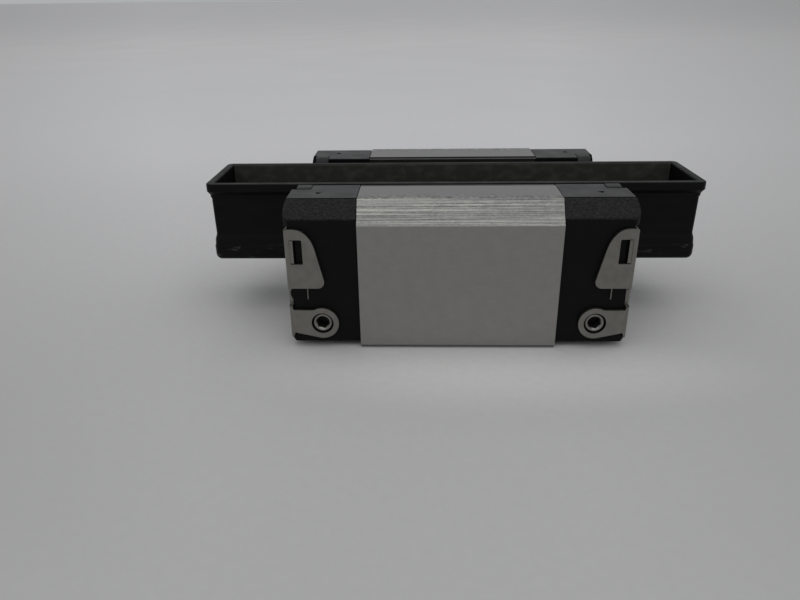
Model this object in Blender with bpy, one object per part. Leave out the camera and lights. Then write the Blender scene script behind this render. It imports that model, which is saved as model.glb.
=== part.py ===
"""Linear guide carriage: a short ball runner block with its transport arbor in the rail channel.

The block lies on its mounting face. X runs along the rail, Y across it, and Z goes from the
mounting face to the open side of the rail channel. The origin is the centre of the mounting
face. Front is -Y, rear is +Y, left is -X and right is +X. Lengths here are in millimetres and
become metres when a mesh is made.
"""
import math

import bmesh
import bpy
from mathutils import Vector

MM = 0.001

# Steel body
BODY_HALF_LENGTH = 12.85
BODY_HALF_WIDTH = 17.0
BODY_HEIGHT = 19.9
BODY_EDGE = 0.5
LEG_CHAMFER_Z = 16.97
LEG_CHAMFER_Y = 14.77
CHANNEL_HALF_WIDTH = 8.75
CHANNEL_FLOOR_Z = 7.2
CHANNEL_FILLET = 0.3
MOUNT_HOLE_Y = 13.0
MOUNT_HOLE_R = 2.0
MOUNT_HOLE_DEPTH = 6.0
MOUNT_DRILL_R = 1.65
MOUNT_DRILL_DEPTH = 6.8
MOUNT_CONE_DEPTH = 7.6
PAST = 1.0  # how far a cutter runs past the face it opens

# Balls and their circuits: the loaded rows face the rail, the return rows lie in the legs
BALL_R = 3.175 / 2
BALLS_PER_CIRCUIT = 19
NECK_R = 0.3
LOADED_Y = 7.3
RETURN_Y = 12.5
LOWER_LOADED_Z = 11.3
UPPER_LOADED_Z = 15.65
LOWER_RETURN_Z = 10.6
UPPER_RETURN_Z = 16.1
TURN_START_X = 13.0
RACEWAY_R = 1.66
RACEWAY_END_ANGLE = 60.0
RACEWAY_INNER_ANGLE = 10.0
TURN_CHANNEL_R = 1.8
RETURN_BORE_R = 2.2
TUBE_OUTER_R = 2.05
TUBE_INNER_R = 1.72

# Hardened segments, ball guides and side seals
SEGMENT_BACK_Y = 9.75
SEGMENT_LIP_Y = 8.75
SEGMENT_LOW_Z = 9.25
SEGMENT_HIGH_Z = 17.7
SEGMENT_GAP = 0.15
RAIL_SIDE_Y = 7.65
GUIDE_BACK_Y = 8.55
GUIDE_LIP_Z = 17.42
GUIDE_SHOULDER_Z = 17.95
GUIDE_TOP_Z = 18.9
GUIDE_NECK_HALF = 0.42
GUIDE_ROOT_HALF = 0.72
SEAL_STRIP_TOP_Z = 19.75
SEAL_STRIP_THICKNESS = 0.65
SEAL_STRIP_FOOT_Y = 8.1

# End caps
CAP_INNER_X = 12.95
CAP_HALF_WIDTH = 16.4
CAP_BOTTOM_Z = 0.6
CAP_TOP_Z = 19.85
CAP_FACET_Z = 17.75
CAP_FACET_Y = 14.2
CAP_CHANNEL_Y = 7.9
CAP_CHANNEL_Z = 7.15
CAP_LOWER_END_X = 22.05
CAP_BOSS_X = 21.8
CAP_UPPER_END_X = 22.18
CAP_EDGE = 0.4
CAP_FILLET = 0.3
CAP_CORNER_R = 1.0
CAP_RECESS_X = 21.4
PLATE_RECESS_Z = (1.75, 16.75)
BOSS_INNER_Y = 16.0
BOSS_Z = (6.95, 8.15)
NOTCH_X = 18.1
NOTCH_Y = 12.0
NOTCH_HALF = 0.4
WIDE = 20.0  # further out than any side of the block

# Recirculation plates
TURN_PLATE_OUTER_X = 17.8
TURN_PLATE_OUTER_Y = 14.7
TURN_PLATE_LEG_Z = (8.55, 18.3)
TURN_PLATE_BRIDGE_Z = (5.6, 7.0)
TURN_PLATE_BRIDGE_Y = 9.5
POCKET_GAP = 0.15

# End seals
SEAL_INNER_X = 19.3
SEAL_OUTER_X = 21.25
SEAL_OUTER_Y = 9.8
SEAL_BOTTOM_Z = 5.4
SEAL_TOP_Z = 20.0
SEAL_FOOT_Y = 8.25
SEAL_LIP_Y = 7.6
SEAL_LIP_Z = (7.6, 18.9)
SEAL_TOOTH_DEPTH = 1.0
SEAL_TOOTH_HALF = 1.3

# Threaded end plates: bent sheet with two wings on each side
PLATE_OUTER_X = 22.15
PLATE_THICKNESS = 0.5
WING_OUTER_Y = 16.98
WING_THICKNESS = 0.45
PLATE_BEND_R = 0.85
PLATE_LOW_Z = 1.9
PLATE_HIGH_Z = 16.6
PLATE_CHANNEL_Y = 8.9
PLATE_CHANNEL_Z = 6.3
PLATE_CHANNEL_EDGE = 0.6
WING_FLOOR_Z = 8.62
WING_TIP_X = 17.15
WING_CORNER_R = 0.9
PLATE_CORNER_Y = 15.8
PLATE_CORNER_Z = 5.9
PLATE_CORNER_X = 20.95
WINDOW_X = (19.8, 21.4)
WINDOW_Z = (11.95, 15.2)
TONGUE_WIDTH = 0.45
TONGUE_INNER_Y = 15.0
TAB_X = 17.8
TAB_Z = 3.65
TAB_R = 2.15
TAB_ROOT = (21.5, 2.29)

# Screws
PORT_SCREW_R = 1.3
PORT_HOLE_R = 1.45
SCREW_BEVEL = 0.2
SCREW_SINK = 0.15
PORT_SOCKET_DEPTH = 1.2
CAP_SOCKET_DEPTH = 0.8
PORT_SCREW_LENGTH = 2.6
END_SCREW_LENGTH = 3.3
CAP_SCREW_Y = 12.275
CAP_SCREW_Z = 6.7
CAP_SCREW_R = 1.1
CAP_SCREW_HEAD_R = 2.1
CAP_SCREW_TIP_X = 8.0
CAP_SCREW_TOP_X = 22.3
TAPPED_HOLE_R = 1.25
SCREW_HOLE_R = 1.4
HEAD_HOLE_R = 1.7
PLATE_HEAD_HOLE_R = 2.3
HEX_FLATS = 1.5

# Transport arbor
ARBOR_CENTRE_X = -0.45
ARBOR_HALF_LENGTH = 34.15
ARBOR_HALF_WIDTH = 6.35
ARBOR_CORNER_R = 0.9
ARBOR_TOP_Z = 19.6
ARBOR_WALL = 1.1
ARBOR_FLOOR_Z = 9.5
ARBOR_DRAFT = (0.2, 0.65)

LEGS = (("front", -1), ("rear", 1))
ENDS = (("left", -1), ("right", 1))

COLOURS = {
    "ground_steel": ((0.42, 0.41, 0.40), 0.45, 1.0),
    "hardened_steel": ((0.55, 0.55, 0.55), 0.25, 1.0),
    "ball_steel": ((0.75, 0.75, 0.76), 0.12, 1.0),
    "stainless_sheet": ((0.50, 0.49, 0.45), 0.38, 1.0),
    "screw_steel": ((0.40, 0.39, 0.37), 0.35, 1.0),
    "cap_plastic": ((0.018, 0.018, 0.018), 0.5, 0.0),
    "guide_plastic": ((0.55, 0.53, 0.47), 0.45, 0.0),
    "seal_rubber": ((0.03, 0.03, 0.03), 0.7, 0.0),
    "arbor_plastic": ((0.012, 0.012, 0.012), 0.45, 0.0),
}


def clear_scene():
    for old in list(bpy.data.objects):
        bpy.data.objects.remove(old, do_unlink=True)


def make_material(name):
    colour, roughness, metallic = COLOURS[name]
    material = bpy.data.materials.new(name)
    material.use_nodes = True
    shader = material.node_tree.nodes["Principled BSDF"]
    shader.inputs["Base Color"].default_value = (*colour, 1.0)
    shader.inputs["Roughness"].default_value = roughness
    shader.inputs["Metallic"].default_value = metallic
    material.diffuse_color = (*colour, 1.0)
    return material


def arc(centre, radius, start, end, steps):
    """Points on an arc, from one angle to another in degrees."""
    points = []
    for i in range(steps + 1):
        angle = math.radians(start + (end - start) * i / steps)
        points.append((centre[0] + radius * math.cos(angle), centre[1] + radius * math.sin(angle)))
    return points


def mirrored(half):
    """A closed outline that is symmetric about its second axis, from its positive half."""
    return half + [(-u, v) for u, v in reversed(half)]


def flipped(outline, sign):
    return [(sign * u, v) for u, v in outline]


def box_outline(low_u, high_u, low_v, high_v):
    return [(low_u, low_v), (high_u, low_v), (high_u, high_v), (low_u, high_v)]


def new_object(name, mesh_maker, material=None, smooth=False):
    mesh = bpy.data.meshes.new(name)
    bm = bmesh.new()
    mesh_maker(bm)
    bmesh.ops.recalc_face_normals(bm, faces=bm.faces)
    bmesh.ops.scale(bm, vec=(MM, MM, MM), verts=bm.verts)
    bm.to_mesh(mesh)
    bm.free()
    if smooth:
        mesh.shade_smooth()
        mesh.set_sharp_from_angle(angle=math.radians(35))
    obj = bpy.data.objects.new(name, mesh)
    bpy.context.collection.objects.link(obj)
    if material is None:
        obj.hide_render = True
        obj.display_type = "WIRE"
    else:
        mesh.materials.append(material)
    return obj


def prism(name, outline, axis, low, high, material=None):
    """Extrude a flat outline along X, Y or Z between two positions."""
    def place(u, v, t):
        return {"X": (t, u, v), "Y": (u, t, v), "Z": (u, v, t)}[axis]

    def make(bm):
        bottom = [bm.verts.new(place(u, v, low)) for u, v in outline]
        top = [bm.verts.new(place(u, v, high)) for u, v in outline]
        bm.faces.new(bottom)
        bm.faces.new(list(reversed(top)))
        for i in range(len(outline)):
            j = (i + 1) % len(outline)
            bm.faces.new((bottom[i], bottom[j], top[j], top[i]))

    return new_object(name, make, material)


def turned(name, profile, origin, direction, segments, material=None):
    """Turn a profile of (radius, height) points about an axis; both its ends lie on the axis."""
    along = Vector(direction).normalized()
    across = along.orthogonal().normalized()
    third = along.cross(across)
    start = Vector(origin)

    def make(bm):
        rings = []
        for radius, height in profile:
            centre = start + along * height
            if radius == 0:
                rings.append([bm.verts.new(centre)])
                continue
            ring = []
            for k in range(segments):
                angle = 2 * math.pi * k / segments
                spoke = across * math.cos(angle) + third * math.sin(angle)
                ring.append(bm.verts.new(centre + spoke * radius))
            rings.append(ring)
        for inner, outer in zip(rings, rings[1:]):
            for k in range(segments):
                m = (k + 1) % segments
                corners = [inner[k % len(inner)], inner[m % len(inner)]]
                corners += [outer[m % len(outer)], outer[k % len(outer)]]
                bm.faces.new(list(dict.fromkeys(corners)))

    return new_object(name, make, material, smooth=True)


def rod(name, origin, direction, radius, length, segments=16, material=None):
    profile = [(0, 0), (radius, 0), (radius, length), (0, length)]
    return turned(name, profile, origin, direction, segments, material)


def combine(target, other, operation="DIFFERENCE"):
    modifier = target.modifiers.new(other.name, "BOOLEAN")
    modifier.operation = operation
    modifier.solver = "EXACT"
    modifier.object = other


def circuit_paths():
    """Each circuit's name, leg sign and the heights of its loaded and return rows."""
    paths = []
    for leg, sign in LEGS:
        paths.append((f"lower_{leg}", sign, LOWER_LOADED_Z, LOWER_RETURN_Z))
        paths.append((f"upper_{leg}", sign, UPPER_LOADED_Z, UPPER_RETURN_Z))
    return paths


def turn_radius(loaded_z, return_z):
    return math.hypot(RETURN_Y - LOADED_Y, return_z - loaded_z) / 2


def body_outline():
    half = [
        (BODY_HALF_WIDTH - BODY_EDGE, 0),
        (BODY_HALF_WIDTH, BODY_EDGE),
        (BODY_HALF_WIDTH, LEG_CHAMFER_Z),
        (LEG_CHAMFER_Y, BODY_HEIGHT),
        (CHANNEL_HALF_WIDTH, BODY_HEIGHT),
        (CHANNEL_HALF_WIDTH, SEGMENT_HIGH_Z + SEGMENT_GAP),
        (SEGMENT_BACK_Y + SEGMENT_GAP, SEGMENT_HIGH_Z + SEGMENT_GAP),
        (SEGMENT_BACK_Y + SEGMENT_GAP, SEGMENT_LOW_Z - SEGMENT_GAP),
        (CHANNEL_HALF_WIDTH, SEGMENT_LOW_Z - SEGMENT_GAP),
        (CHANNEL_HALF_WIDTH, CHANNEL_FLOOR_Z + CHANNEL_FILLET),
        (CHANNEL_HALF_WIDTH - CHANNEL_FILLET, CHANNEL_FLOOR_Z),
    ]
    return mirrored(half)


def make_body(material):
    body = prism("runner_block_body", body_outline(), "X", -BODY_HALF_LENGTH, BODY_HALF_LENGTH,
                 material)
    for name, sign, _, return_z in circuit_paths():
        start = (-BODY_HALF_LENGTH - PAST, sign * RETURN_Y, return_z)
        length = 2 * (BODY_HALF_LENGTH + PAST)
        combine(body, rod(f"cut_return_{name}", start, (1, 0, 0), RETURN_BORE_R, length))
    drill = [(0, -PAST), (MOUNT_HOLE_R, -PAST), (MOUNT_HOLE_R, MOUNT_HOLE_DEPTH),
             (MOUNT_DRILL_R, MOUNT_HOLE_DEPTH), (MOUNT_DRILL_R, MOUNT_DRILL_DEPTH),
             (0, MOUNT_CONE_DEPTH)]
    for leg, sign in LEGS:
        hole = turned(f"cut_mount_{leg}", drill, (0, sign * MOUNT_HOLE_Y, 0), (0, 0, 1), 16)
        combine(body, hole)
        for end, side in ENDS:
            start = (side * (CAP_SCREW_TIP_X - PAST), sign * CAP_SCREW_Y, CAP_SCREW_Z)
            length = BODY_HALF_LENGTH - CAP_SCREW_TIP_X + 2 * PAST
            hole = rod(f"cut_tapped_{leg}_{end}", start, (side, 0, 0), TAPPED_HOLE_R, length)
            combine(body, hole)


def make_segments(material):
    upper = arc((LOADED_Y, UPPER_LOADED_Z), RACEWAY_R, RACEWAY_END_ANGLE, -RACEWAY_INNER_ANGLE, 7)
    lower = arc((LOADED_Y, LOWER_LOADED_Z), RACEWAY_R, RACEWAY_INNER_ANGLE, -RACEWAY_END_ANGLE, 7)
    outline = [(SEGMENT_BACK_Y, SEGMENT_LOW_Z), (SEGMENT_BACK_Y, SEGMENT_HIGH_Z),
               (SEGMENT_LIP_Y, SEGMENT_HIGH_Z)]
    outline += upper + lower + [(SEGMENT_LIP_Y, SEGMENT_LOW_Z)]
    for leg, sign in LEGS:
        prism(f"raceway_segment_{leg}", flipped(outline, sign), "X",
              -BODY_HALF_LENGTH, BODY_HALF_LENGTH, material)


def make_ball_guides(material):
    """Strips beside the loaded rows, between the rail's side and the hardened segment."""
    middle = (UPPER_LOADED_Z + LOWER_LOADED_Z) / 2
    root_y = GUIDE_BACK_Y + 0.2
    centre = [(RAIL_SIDE_Y, middle - GUIDE_NECK_HALF), (root_y, middle - GUIDE_ROOT_HALF),
              (root_y, middle + GUIDE_ROOT_HALF), (RAIL_SIDE_Y, middle + GUIDE_NECK_HALF)]
    upper = [(RAIL_SIDE_Y, GUIDE_LIP_Z), (RAIL_SIDE_Y + 0.3, GUIDE_LIP_Z - 0.07),
             (GUIDE_BACK_Y, GUIDE_SHOULDER_Z), (GUIDE_BACK_Y, GUIDE_TOP_Z),
             (RAIL_SIDE_Y, GUIDE_TOP_Z)]
    lower = [(y, 2 * middle - z) for y, z in upper]
    for leg, sign in LEGS:
        for place, outline in (("upper", upper), ("centre", centre), ("lower", lower)):
            prism(f"ball_guide_{place}_{leg}", flipped(outline, sign), "X",
                  -BODY_HALF_LENGTH, BODY_HALF_LENGTH, material)


def make_return_tubes(material):
    half = BODY_HALF_LENGTH - 0.1
    for name, sign, _, return_z in circuit_paths():
        start = (-half, sign * RETURN_Y, return_z)
        tube = rod(f"return_tube_{name}", start, (1, 0, 0), TUBE_OUTER_R, 2 * half,
                   material=material)
        bore_start = (-half - PAST, sign * RETURN_Y, return_z)
        bore = rod(f"cut_tube_{name}", bore_start, (1, 0, 0), TUBE_INNER_R, 2 * (half + PAST))
        combine(tube, bore)


def circuit_point(sign, loaded_z, return_z, way):
    """Place, direction of travel and sideways direction at a distance along a ball circuit.

    The circuit is a loop of two straight rows joined by two half circles.
    """
    radius = turn_radius(loaded_z, return_z)
    loaded = Vector((0, sign * LOADED_Y, loaded_z))
    back = Vector((0, sign * RETURN_Y, return_z))
    middle = (loaded + back) / 2
    outward = (back - loaded).normalized()
    along = Vector((1, 0, 0))
    straight = 2 * TURN_START_X
    half_turn = math.pi * radius
    way %= 2 * (straight + half_turn)
    direction = 1
    if way >= straight + half_turn:
        way -= straight + half_turn
        direction = -1
    row = loaded if direction == 1 else back
    if way < straight:
        place = row + along * direction * (way - TURN_START_X)
        return place, along * direction, outward * direction
    angle = (way - straight) / radius
    spoke = along * math.sin(angle) - outward * math.cos(angle)
    place = middle + direction * (along * TURN_START_X + spoke * radius)
    travel = (along * math.cos(angle) + outward * math.sin(angle)) * direction
    return place, travel, -spoke * direction


def make_ball_circuits(material):
    """Each circuit is one solid: balls joined by thin necks where they would touch."""
    ring_angles = (180.0, 130.0, 90.0, 50.0)
    sides = 8
    for name, sign, loaded_z, return_z in circuit_paths():
        length = 2 * (2 * TURN_START_X + math.pi * turn_radius(loaded_z, return_z))
        pitch = length / BALLS_PER_CIRCUIT

        def make(bm, sign=sign, loaded_z=loaded_z, return_z=return_z, pitch=pitch):
            rings = []
            for ball in range(BALLS_PER_CIRCUIT):
                for angle in ring_angles:
                    turned_by = math.radians(angle)
                    ahead = BALL_R * math.cos(turned_by)
                    size = BALL_R * math.sin(turned_by)
                    if angle == ring_angles[0]:
                        ahead = -pitch / 2
                        size = NECK_R
                    way = (ball + 0.5) * pitch + ahead
                    place, travel, sideways = circuit_point(sign, loaded_z, return_z, way)
                    upwards = travel.cross(sideways)
                    ring = []
                    for k in range(sides):
                        turn = 2 * math.pi * k / sides
                        spoke = sideways * math.cos(turn) + upwards * math.sin(turn)
                        ring.append(bm.verts.new(place + spoke * size))
                    rings.append(ring)
            for ring, following in zip(rings, rings[1:] + rings[:1]):
                for k in range(sides):
                    m = (k + 1) % sides
                    bm.faces.new((ring[k], ring[m], following[m], following[k]))

        new_object(f"ball_circuit_{name}", make, material, smooth=True)


def turn_cutter(name, side, sign, loaded_z, return_z):
    """A ring-shaped channel that carries balls from the loaded row round to the return row."""
    radius = turn_radius(loaded_z, return_z)
    loaded = Vector((side * TURN_START_X, sign * LOADED_Y, loaded_z))
    back = Vector((side * TURN_START_X, sign * RETURN_Y, return_z))
    middle = (loaded + back) / 2
    outward = (back - loaded).normalized()
    along = Vector((1, 0, 0))
    normal = along.cross(outward)
    around = 20
    across = 12

    def make(bm):
        rings = []
        for i in range(around):
            angle = 2 * math.pi * (i + 0.5) / around
            spoke = outward * math.cos(angle) + along * math.sin(angle)
            ring = []
            for j in range(across):
                tilt = 2 * math.pi * j / across
                offset = spoke * (radius + TURN_CHANNEL_R * math.cos(tilt))
                ring.append(bm.verts.new(middle + offset + normal * TURN_CHANNEL_R * math.sin(tilt)))
            rings.append(ring)
        for i in range(around):
            following = rings[(i + 1) % around]
            for j in range(across):
                k = (j + 1) % across
                bm.faces.new((rings[i][j], rings[i][k], following[k], following[j]))

    return new_object(name, make)


def turn_plate_outline(gap=0.0):
    """U-shaped outline round the rail; a gap makes it the pocket that holds the plate."""
    inner = RAIL_SIDE_Y if gap == 0 else CAP_CHANNEL_Y - 1
    floor = TURN_PLATE_BRIDGE_Z[1] if gap == 0 else CAP_CHANNEL_Z + 0.4
    half = [
        (TURN_PLATE_BRIDGE_Y + gap, TURN_PLATE_BRIDGE_Z[0] - gap),
        (TURN_PLATE_BRIDGE_Y + gap, TURN_PLATE_LEG_Z[0] - gap),
        (TURN_PLATE_OUTER_Y + gap, TURN_PLATE_LEG_Z[0] - gap),
        (TURN_PLATE_OUTER_Y + gap, TURN_PLATE_LEG_Z[1] + gap),
        (inner, TURN_PLATE_LEG_Z[1] + gap),
        (inner, floor),
    ]
    return mirrored(half)


def make_turn_plates(material):
    inner_x = CAP_INNER_X + 0.1
    for end, side in ENDS:
        low, high = sorted((side * inner_x, side * TURN_PLATE_OUTER_X))
        plate = prism(f"recirculation_plate_{end}", turn_plate_outline(), "X", low, high, material)
        for name, sign, loaded_z, return_z in circuit_paths():
            cutter = turn_cutter(f"cut_turn_{end}_{name}", side, sign, loaded_z, return_z)
            combine(plate, cutter)


def cap_section():
    half = [
        (CAP_HALF_WIDTH - CAP_EDGE, CAP_BOTTOM_Z),
        (CAP_HALF_WIDTH, CAP_BOTTOM_Z + CAP_EDGE),
        (CAP_HALF_WIDTH, CAP_FACET_Z),
        (CAP_FACET_Y, CAP_TOP_Z),
        (CAP_CHANNEL_Y, CAP_TOP_Z),
        (CAP_CHANNEL_Y, CAP_CHANNEL_Z + CAP_FILLET),
        (CAP_CHANNEL_Y - CAP_FILLET, CAP_CHANNEL_Z),
    ]
    return mirrored(half)


def cap_side_outline():
    """The cap seen along Y: a rounded foot, the bosses' face, and a brow over the plate."""
    corner = (CAP_LOWER_END_X - CAP_CORNER_R, CAP_BOTTOM_Z + CAP_CORNER_R)
    outline = [(CAP_INNER_X, CAP_BOTTOM_Z)] + arc(corner, CAP_CORNER_R, -90, 0, 5)
    outline += [
        (CAP_LOWER_END_X, PLATE_RECESS_Z[0] - 0.1),
        (CAP_BOSS_X, PLATE_RECESS_Z[0] + 0.1),
        (CAP_BOSS_X, PLATE_RECESS_Z[1]),
        (CAP_UPPER_END_X - 0.1, PLATE_RECESS_Z[1]),
        (CAP_UPPER_END_X, 17.3),
        (CAP_UPPER_END_X, 18.5),
        (CAP_UPPER_END_X - 0.13, 19.5),
        (CAP_UPPER_END_X - 0.35, CAP_TOP_Z),
        (CAP_INNER_X, CAP_TOP_Z),
    ]
    return outline


def plate_recess_outline():
    """The end face behind the sheet plate, less the corner bosses between the wings."""
    half = [
        (WIDE, PLATE_RECESS_Z[0]),
        (WIDE, BOSS_Z[0]),
        (BOSS_INNER_Y, BOSS_Z[0]),
        (BOSS_INNER_Y, BOSS_Z[1]),
        (WIDE, BOSS_Z[1]),
        (WIDE, PLATE_RECESS_Z[1]),
    ]
    return mirrored(half)


def cap_cutters(end, side):
    """Everything that is hollowed out of an end cap, outermost first."""
    def span(near, far):
        return sorted((side * near, side * far))

    cutters = [
        prism(f"cut_pocket_{end}", turn_plate_outline(POCKET_GAP), "X",
              *span(CAP_INNER_X - PAST, TURN_PLATE_OUTER_X + POCKET_GAP)),
        prism(f"cut_seal_{end}", mirrored([(SEAL_OUTER_Y + POCKET_GAP, SEAL_BOTTOM_Z - POCKET_GAP),
                                           (SEAL_OUTER_Y + POCKET_GAP, CAP_TOP_Z + PAST)]), "X",
              *span(SEAL_INNER_X - POCKET_GAP, CAP_UPPER_END_X + PAST)),
        prism(f"cut_recess_{end}", plate_recess_outline(), "X",
              *span(CAP_RECESS_X, CAP_UPPER_END_X + PAST)),
        rod(f"cut_end_port_{end}", (side * (PLATE_OUTER_X - END_SCREW_LENGTH - 0.4), 0, TAB_Z),
            (side, 0, 0), PORT_HOLE_R, END_SCREW_LENGTH + 2),
    ]
    for leg, sign in LEGS:
        start = (side * TAB_X, sign * (WING_OUTER_Y - PORT_SCREW_LENGTH - 0.4), TAB_Z)
        cutters.append(rod(f"cut_side_port_{end}_{leg}", start, (0, sign, 0), PORT_HOLE_R,
                           PORT_SCREW_LENGTH + PAST))
        start = (side * (CAP_INNER_X - PAST), sign * CAP_SCREW_Y, CAP_SCREW_Z)
        cutters.append(rod(f"cut_screw_{end}_{leg}", start, (side, 0, 0), SCREW_HOLE_R,
                           CAP_UPPER_END_X - CAP_INNER_X + 2 * PAST))
        start = (side * (CAP_RECESS_X - 0.5), sign * CAP_SCREW_Y, CAP_SCREW_Z)
        cutters.append(rod(f"cut_head_{end}_{leg}", start, (side, 0, 0), HEAD_HOLE_R, 2 * PAST))
        notch = [(side * (NOTCH_X - 0.5), sign * (NOTCH_Y - NOTCH_HALF)),
                 (side * (NOTCH_X + 0.5), sign * (NOTCH_Y - NOTCH_HALF)),
                 (side * NOTCH_X, sign * (NOTCH_Y + NOTCH_HALF))]
        cutters.append(prism(f"cut_notch_{end}_{leg}", notch, "Z",
                             CAP_TOP_Z - NOTCH_HALF, CAP_TOP_Z + PAST))
        gap = 0.2
        tongue = box_outline(*span(CAP_RECESS_X - TONGUE_WIDTH - gap, CAP_RECESS_X + PAST),
                             WINDOW_Z[0] - gap, WINDOW_Z[1] + gap)
        low, high = sorted((sign * (TONGUE_INNER_Y - gap), sign * WIDE))
        cutters.append(prism(f"cut_tongue_{end}_{leg}", tongue, "Y", low, high))
    return cutters


def make_caps(material):
    for end, side in ENDS:
        low, high = sorted((side * CAP_INNER_X, side * (CAP_UPPER_END_X + PAST)))
        cap = prism(f"end_cap_{end}", cap_section(), "X", low, high, material)
        shape = prism(f"cut_shape_{end}", flipped(cap_side_outline(), side), "Y", -WIDE, WIDE)
        combine(cap, shape, "INTERSECT")
        for cutter in cap_cutters(end, side):
            combine(cap, cutter)


def make_end_seals(material):
    """Wiper plates whose lips follow the rail's sides and reach into its ball grooves."""
    half = [(SEAL_OUTER_Y, SEAL_BOTTOM_Z), (SEAL_OUTER_Y, SEAL_TOP_Z), (SEAL_FOOT_Y, SEAL_TOP_Z),
            (SEAL_LIP_Y, SEAL_LIP_Z[1])]
    for groove_z in (UPPER_LOADED_Z, LOWER_LOADED_Z):
        half += [(SEAL_LIP_Y, groove_z + SEAL_TOOTH_HALF),
                 (SEAL_LIP_Y - SEAL_TOOTH_DEPTH, groove_z),
                 (SEAL_LIP_Y, groove_z - SEAL_TOOTH_HALF)]
    half += [(SEAL_LIP_Y, SEAL_LIP_Z[0] + 0.5), (SEAL_LIP_Y - 0.5, SEAL_LIP_Z[0])]
    for end, side in ENDS:
        low, high = sorted((side * SEAL_INNER_X, side * SEAL_OUTER_X))
        prism(f"end_seal_{end}", mirrored(half), "X", low, high, material)


def plate_plan_outline():
    """The sheet seen along Z: the end face, two bends, and a side wing at each edge."""
    inner_x = PLATE_OUTER_X - PLATE_THICKNESS
    inner_y = WING_OUTER_Y - WING_THICKNESS
    bend = (PLATE_OUTER_X - PLATE_BEND_R, WING_OUTER_Y - PLATE_BEND_R)
    inner_r = PLATE_BEND_R - WING_THICKNESS
    inner_bend = (inner_x - inner_r, inner_y - inner_r)
    half = [(WING_TIP_X - 2, inner_y), (WING_TIP_X - 2, WING_OUTER_Y)]
    half += arc(bend, PLATE_BEND_R, 90, 0, 5)
    other = [(x, -y) for x, y in reversed(half)]
    back = arc(inner_bend, inner_r, 0, 90, 4)
    front = [(x, -y) for x, y in reversed(back)]
    return half + other + front + back


def plate_side_outline():
    """The sheet seen along Y: the end face with the windowed wing above the screw tab."""
    beyond = PLATE_OUTER_X + PAST
    neck = PLATE_OUTER_X - PLATE_THICKNESS - 0.05
    reach = TAB_ROOT[0] - TAB_X
    drop = TAB_Z - TAB_ROOT[1]
    lean = math.degrees(math.atan2(drop, reach) + math.acos(TAB_R / math.hypot(reach, drop)))
    outline = [(beyond, PLATE_LOW_Z), (CAP_BOSS_X, PLATE_LOW_Z), TAB_ROOT]
    outline += arc((TAB_X, TAB_Z), TAB_R, -lean, -265, 12)
    outline += [(21.45, 5.53), (neck, 5.7), (neck, WING_FLOOR_Z - 0.15), (21.45, WING_FLOOR_Z)]
    outline += arc((WING_TIP_X + 1.0, WING_FLOOR_Z + WING_CORNER_R), WING_CORNER_R, -90, -192, 5)
    outline += [(18.25, 14.0), (18.6, 14.95), (19.1, 15.7), (19.65, 16.2), (20.35, 16.5),
                (CAP_BOSS_X, PLATE_HIGH_Z), (beyond, PLATE_HIGH_Z)]
    return outline


def make_threaded_plates(material):
    edge_y = PLATE_CHANNEL_Y - PLATE_CHANNEL_EDGE
    channel = [(edge_y, PLATE_CHANNEL_Z),
               (PLATE_CHANNEL_Y, PLATE_CHANNEL_Z + PLATE_CHANNEL_EDGE),
               (PLATE_CHANNEL_Y, PLATE_HIGH_Z + PAST)]
    for end, side in ENDS:
        plate = prism(f"threaded_plate_{end}", flipped(plate_plan_outline(), side), "Z",
                      TAB_Z - TAB_R - 0.1, PLATE_HIGH_Z, material)
        shape = prism(f"cut_sheet_{end}", flipped(plate_side_outline(), side), "Y", -WIDE, WIDE)
        combine(plate, shape, "INTERSECT")
        low, high = sorted((side * (PLATE_OUTER_X - 2), side * (PLATE_OUTER_X + PAST)))
        combine(plate, prism(f"cut_channel_{end}", mirrored(channel), "X", low, high))
        port_start = (side * (PLATE_OUTER_X - PAST), 0, TAB_Z)
        port = rod(f"cut_plate_port_{end}", port_start, (side, 0, 0), PORT_HOLE_R, 2 * PAST)
        combine(plate, port)
        for leg, sign in LEGS:
            for cutter in plate_cutters(f"{end}_{leg}", side, sign):
                combine(plate, cutter)
            tongue_x = sorted((side * (WINDOW_X[1] - TONGUE_WIDTH), side * (WINDOW_X[1] + 0.35)))
            tongue = box_outline(*tongue_x, WINDOW_Z[0] + 0.1, WINDOW_Z[1] - 0.1)
            low, high = sorted((sign * TONGUE_INNER_Y, sign * (WING_OUTER_Y - 0.1)))
            combine(plate, prism(f"cut_tongue_add_{end}_{leg}", tongue, "Y", low, high), "UNION")


def plate_cutters(place, side, sign):
    """The window, the two screw holes and the open corner at one edge of a plate."""
    near, far = sorted((sign * (WING_OUTER_Y - PAST), sign * (WING_OUTER_Y + PAST)))
    window = box_outline(*sorted((side * WINDOW_X[0], side * WINDOW_X[1])), *WINDOW_Z)
    tab_start = (side * TAB_X, sign * (WING_OUTER_Y - PAST), TAB_Z)
    head_start = (side * (PLATE_OUTER_X - PAST), sign * CAP_SCREW_Y, CAP_SCREW_Z)
    corner = box_outline(*sorted((sign * PLATE_CORNER_Y, sign * WIDE)), PLATE_CORNER_Z,
                         WING_FLOOR_Z - 0.3)
    low, high = sorted((side * PLATE_CORNER_X, side * (PLATE_OUTER_X + PAST)))
    return [
        prism(f"cut_window_{place}", window, "Y", near, far),
        rod(f"cut_tab_{place}", tab_start, (0, sign, 0), PORT_HOLE_R, 2 * PAST),
        rod(f"cut_plate_head_{place}", head_start, (side, 0, 0), PLATE_HEAD_HOLE_R, 2 * PAST),
        prism(f"cut_corner_{place}", corner, "X", low, high),
    ]


def hexagon_cutter(name, mouth, direction, depth):
    radius = HEX_FLATS / 2 / math.cos(math.pi / 6)
    start = Vector(mouth) - Vector(direction) * depth
    return rod(name, start, direction, radius, depth + PAST, segments=6)


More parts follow.
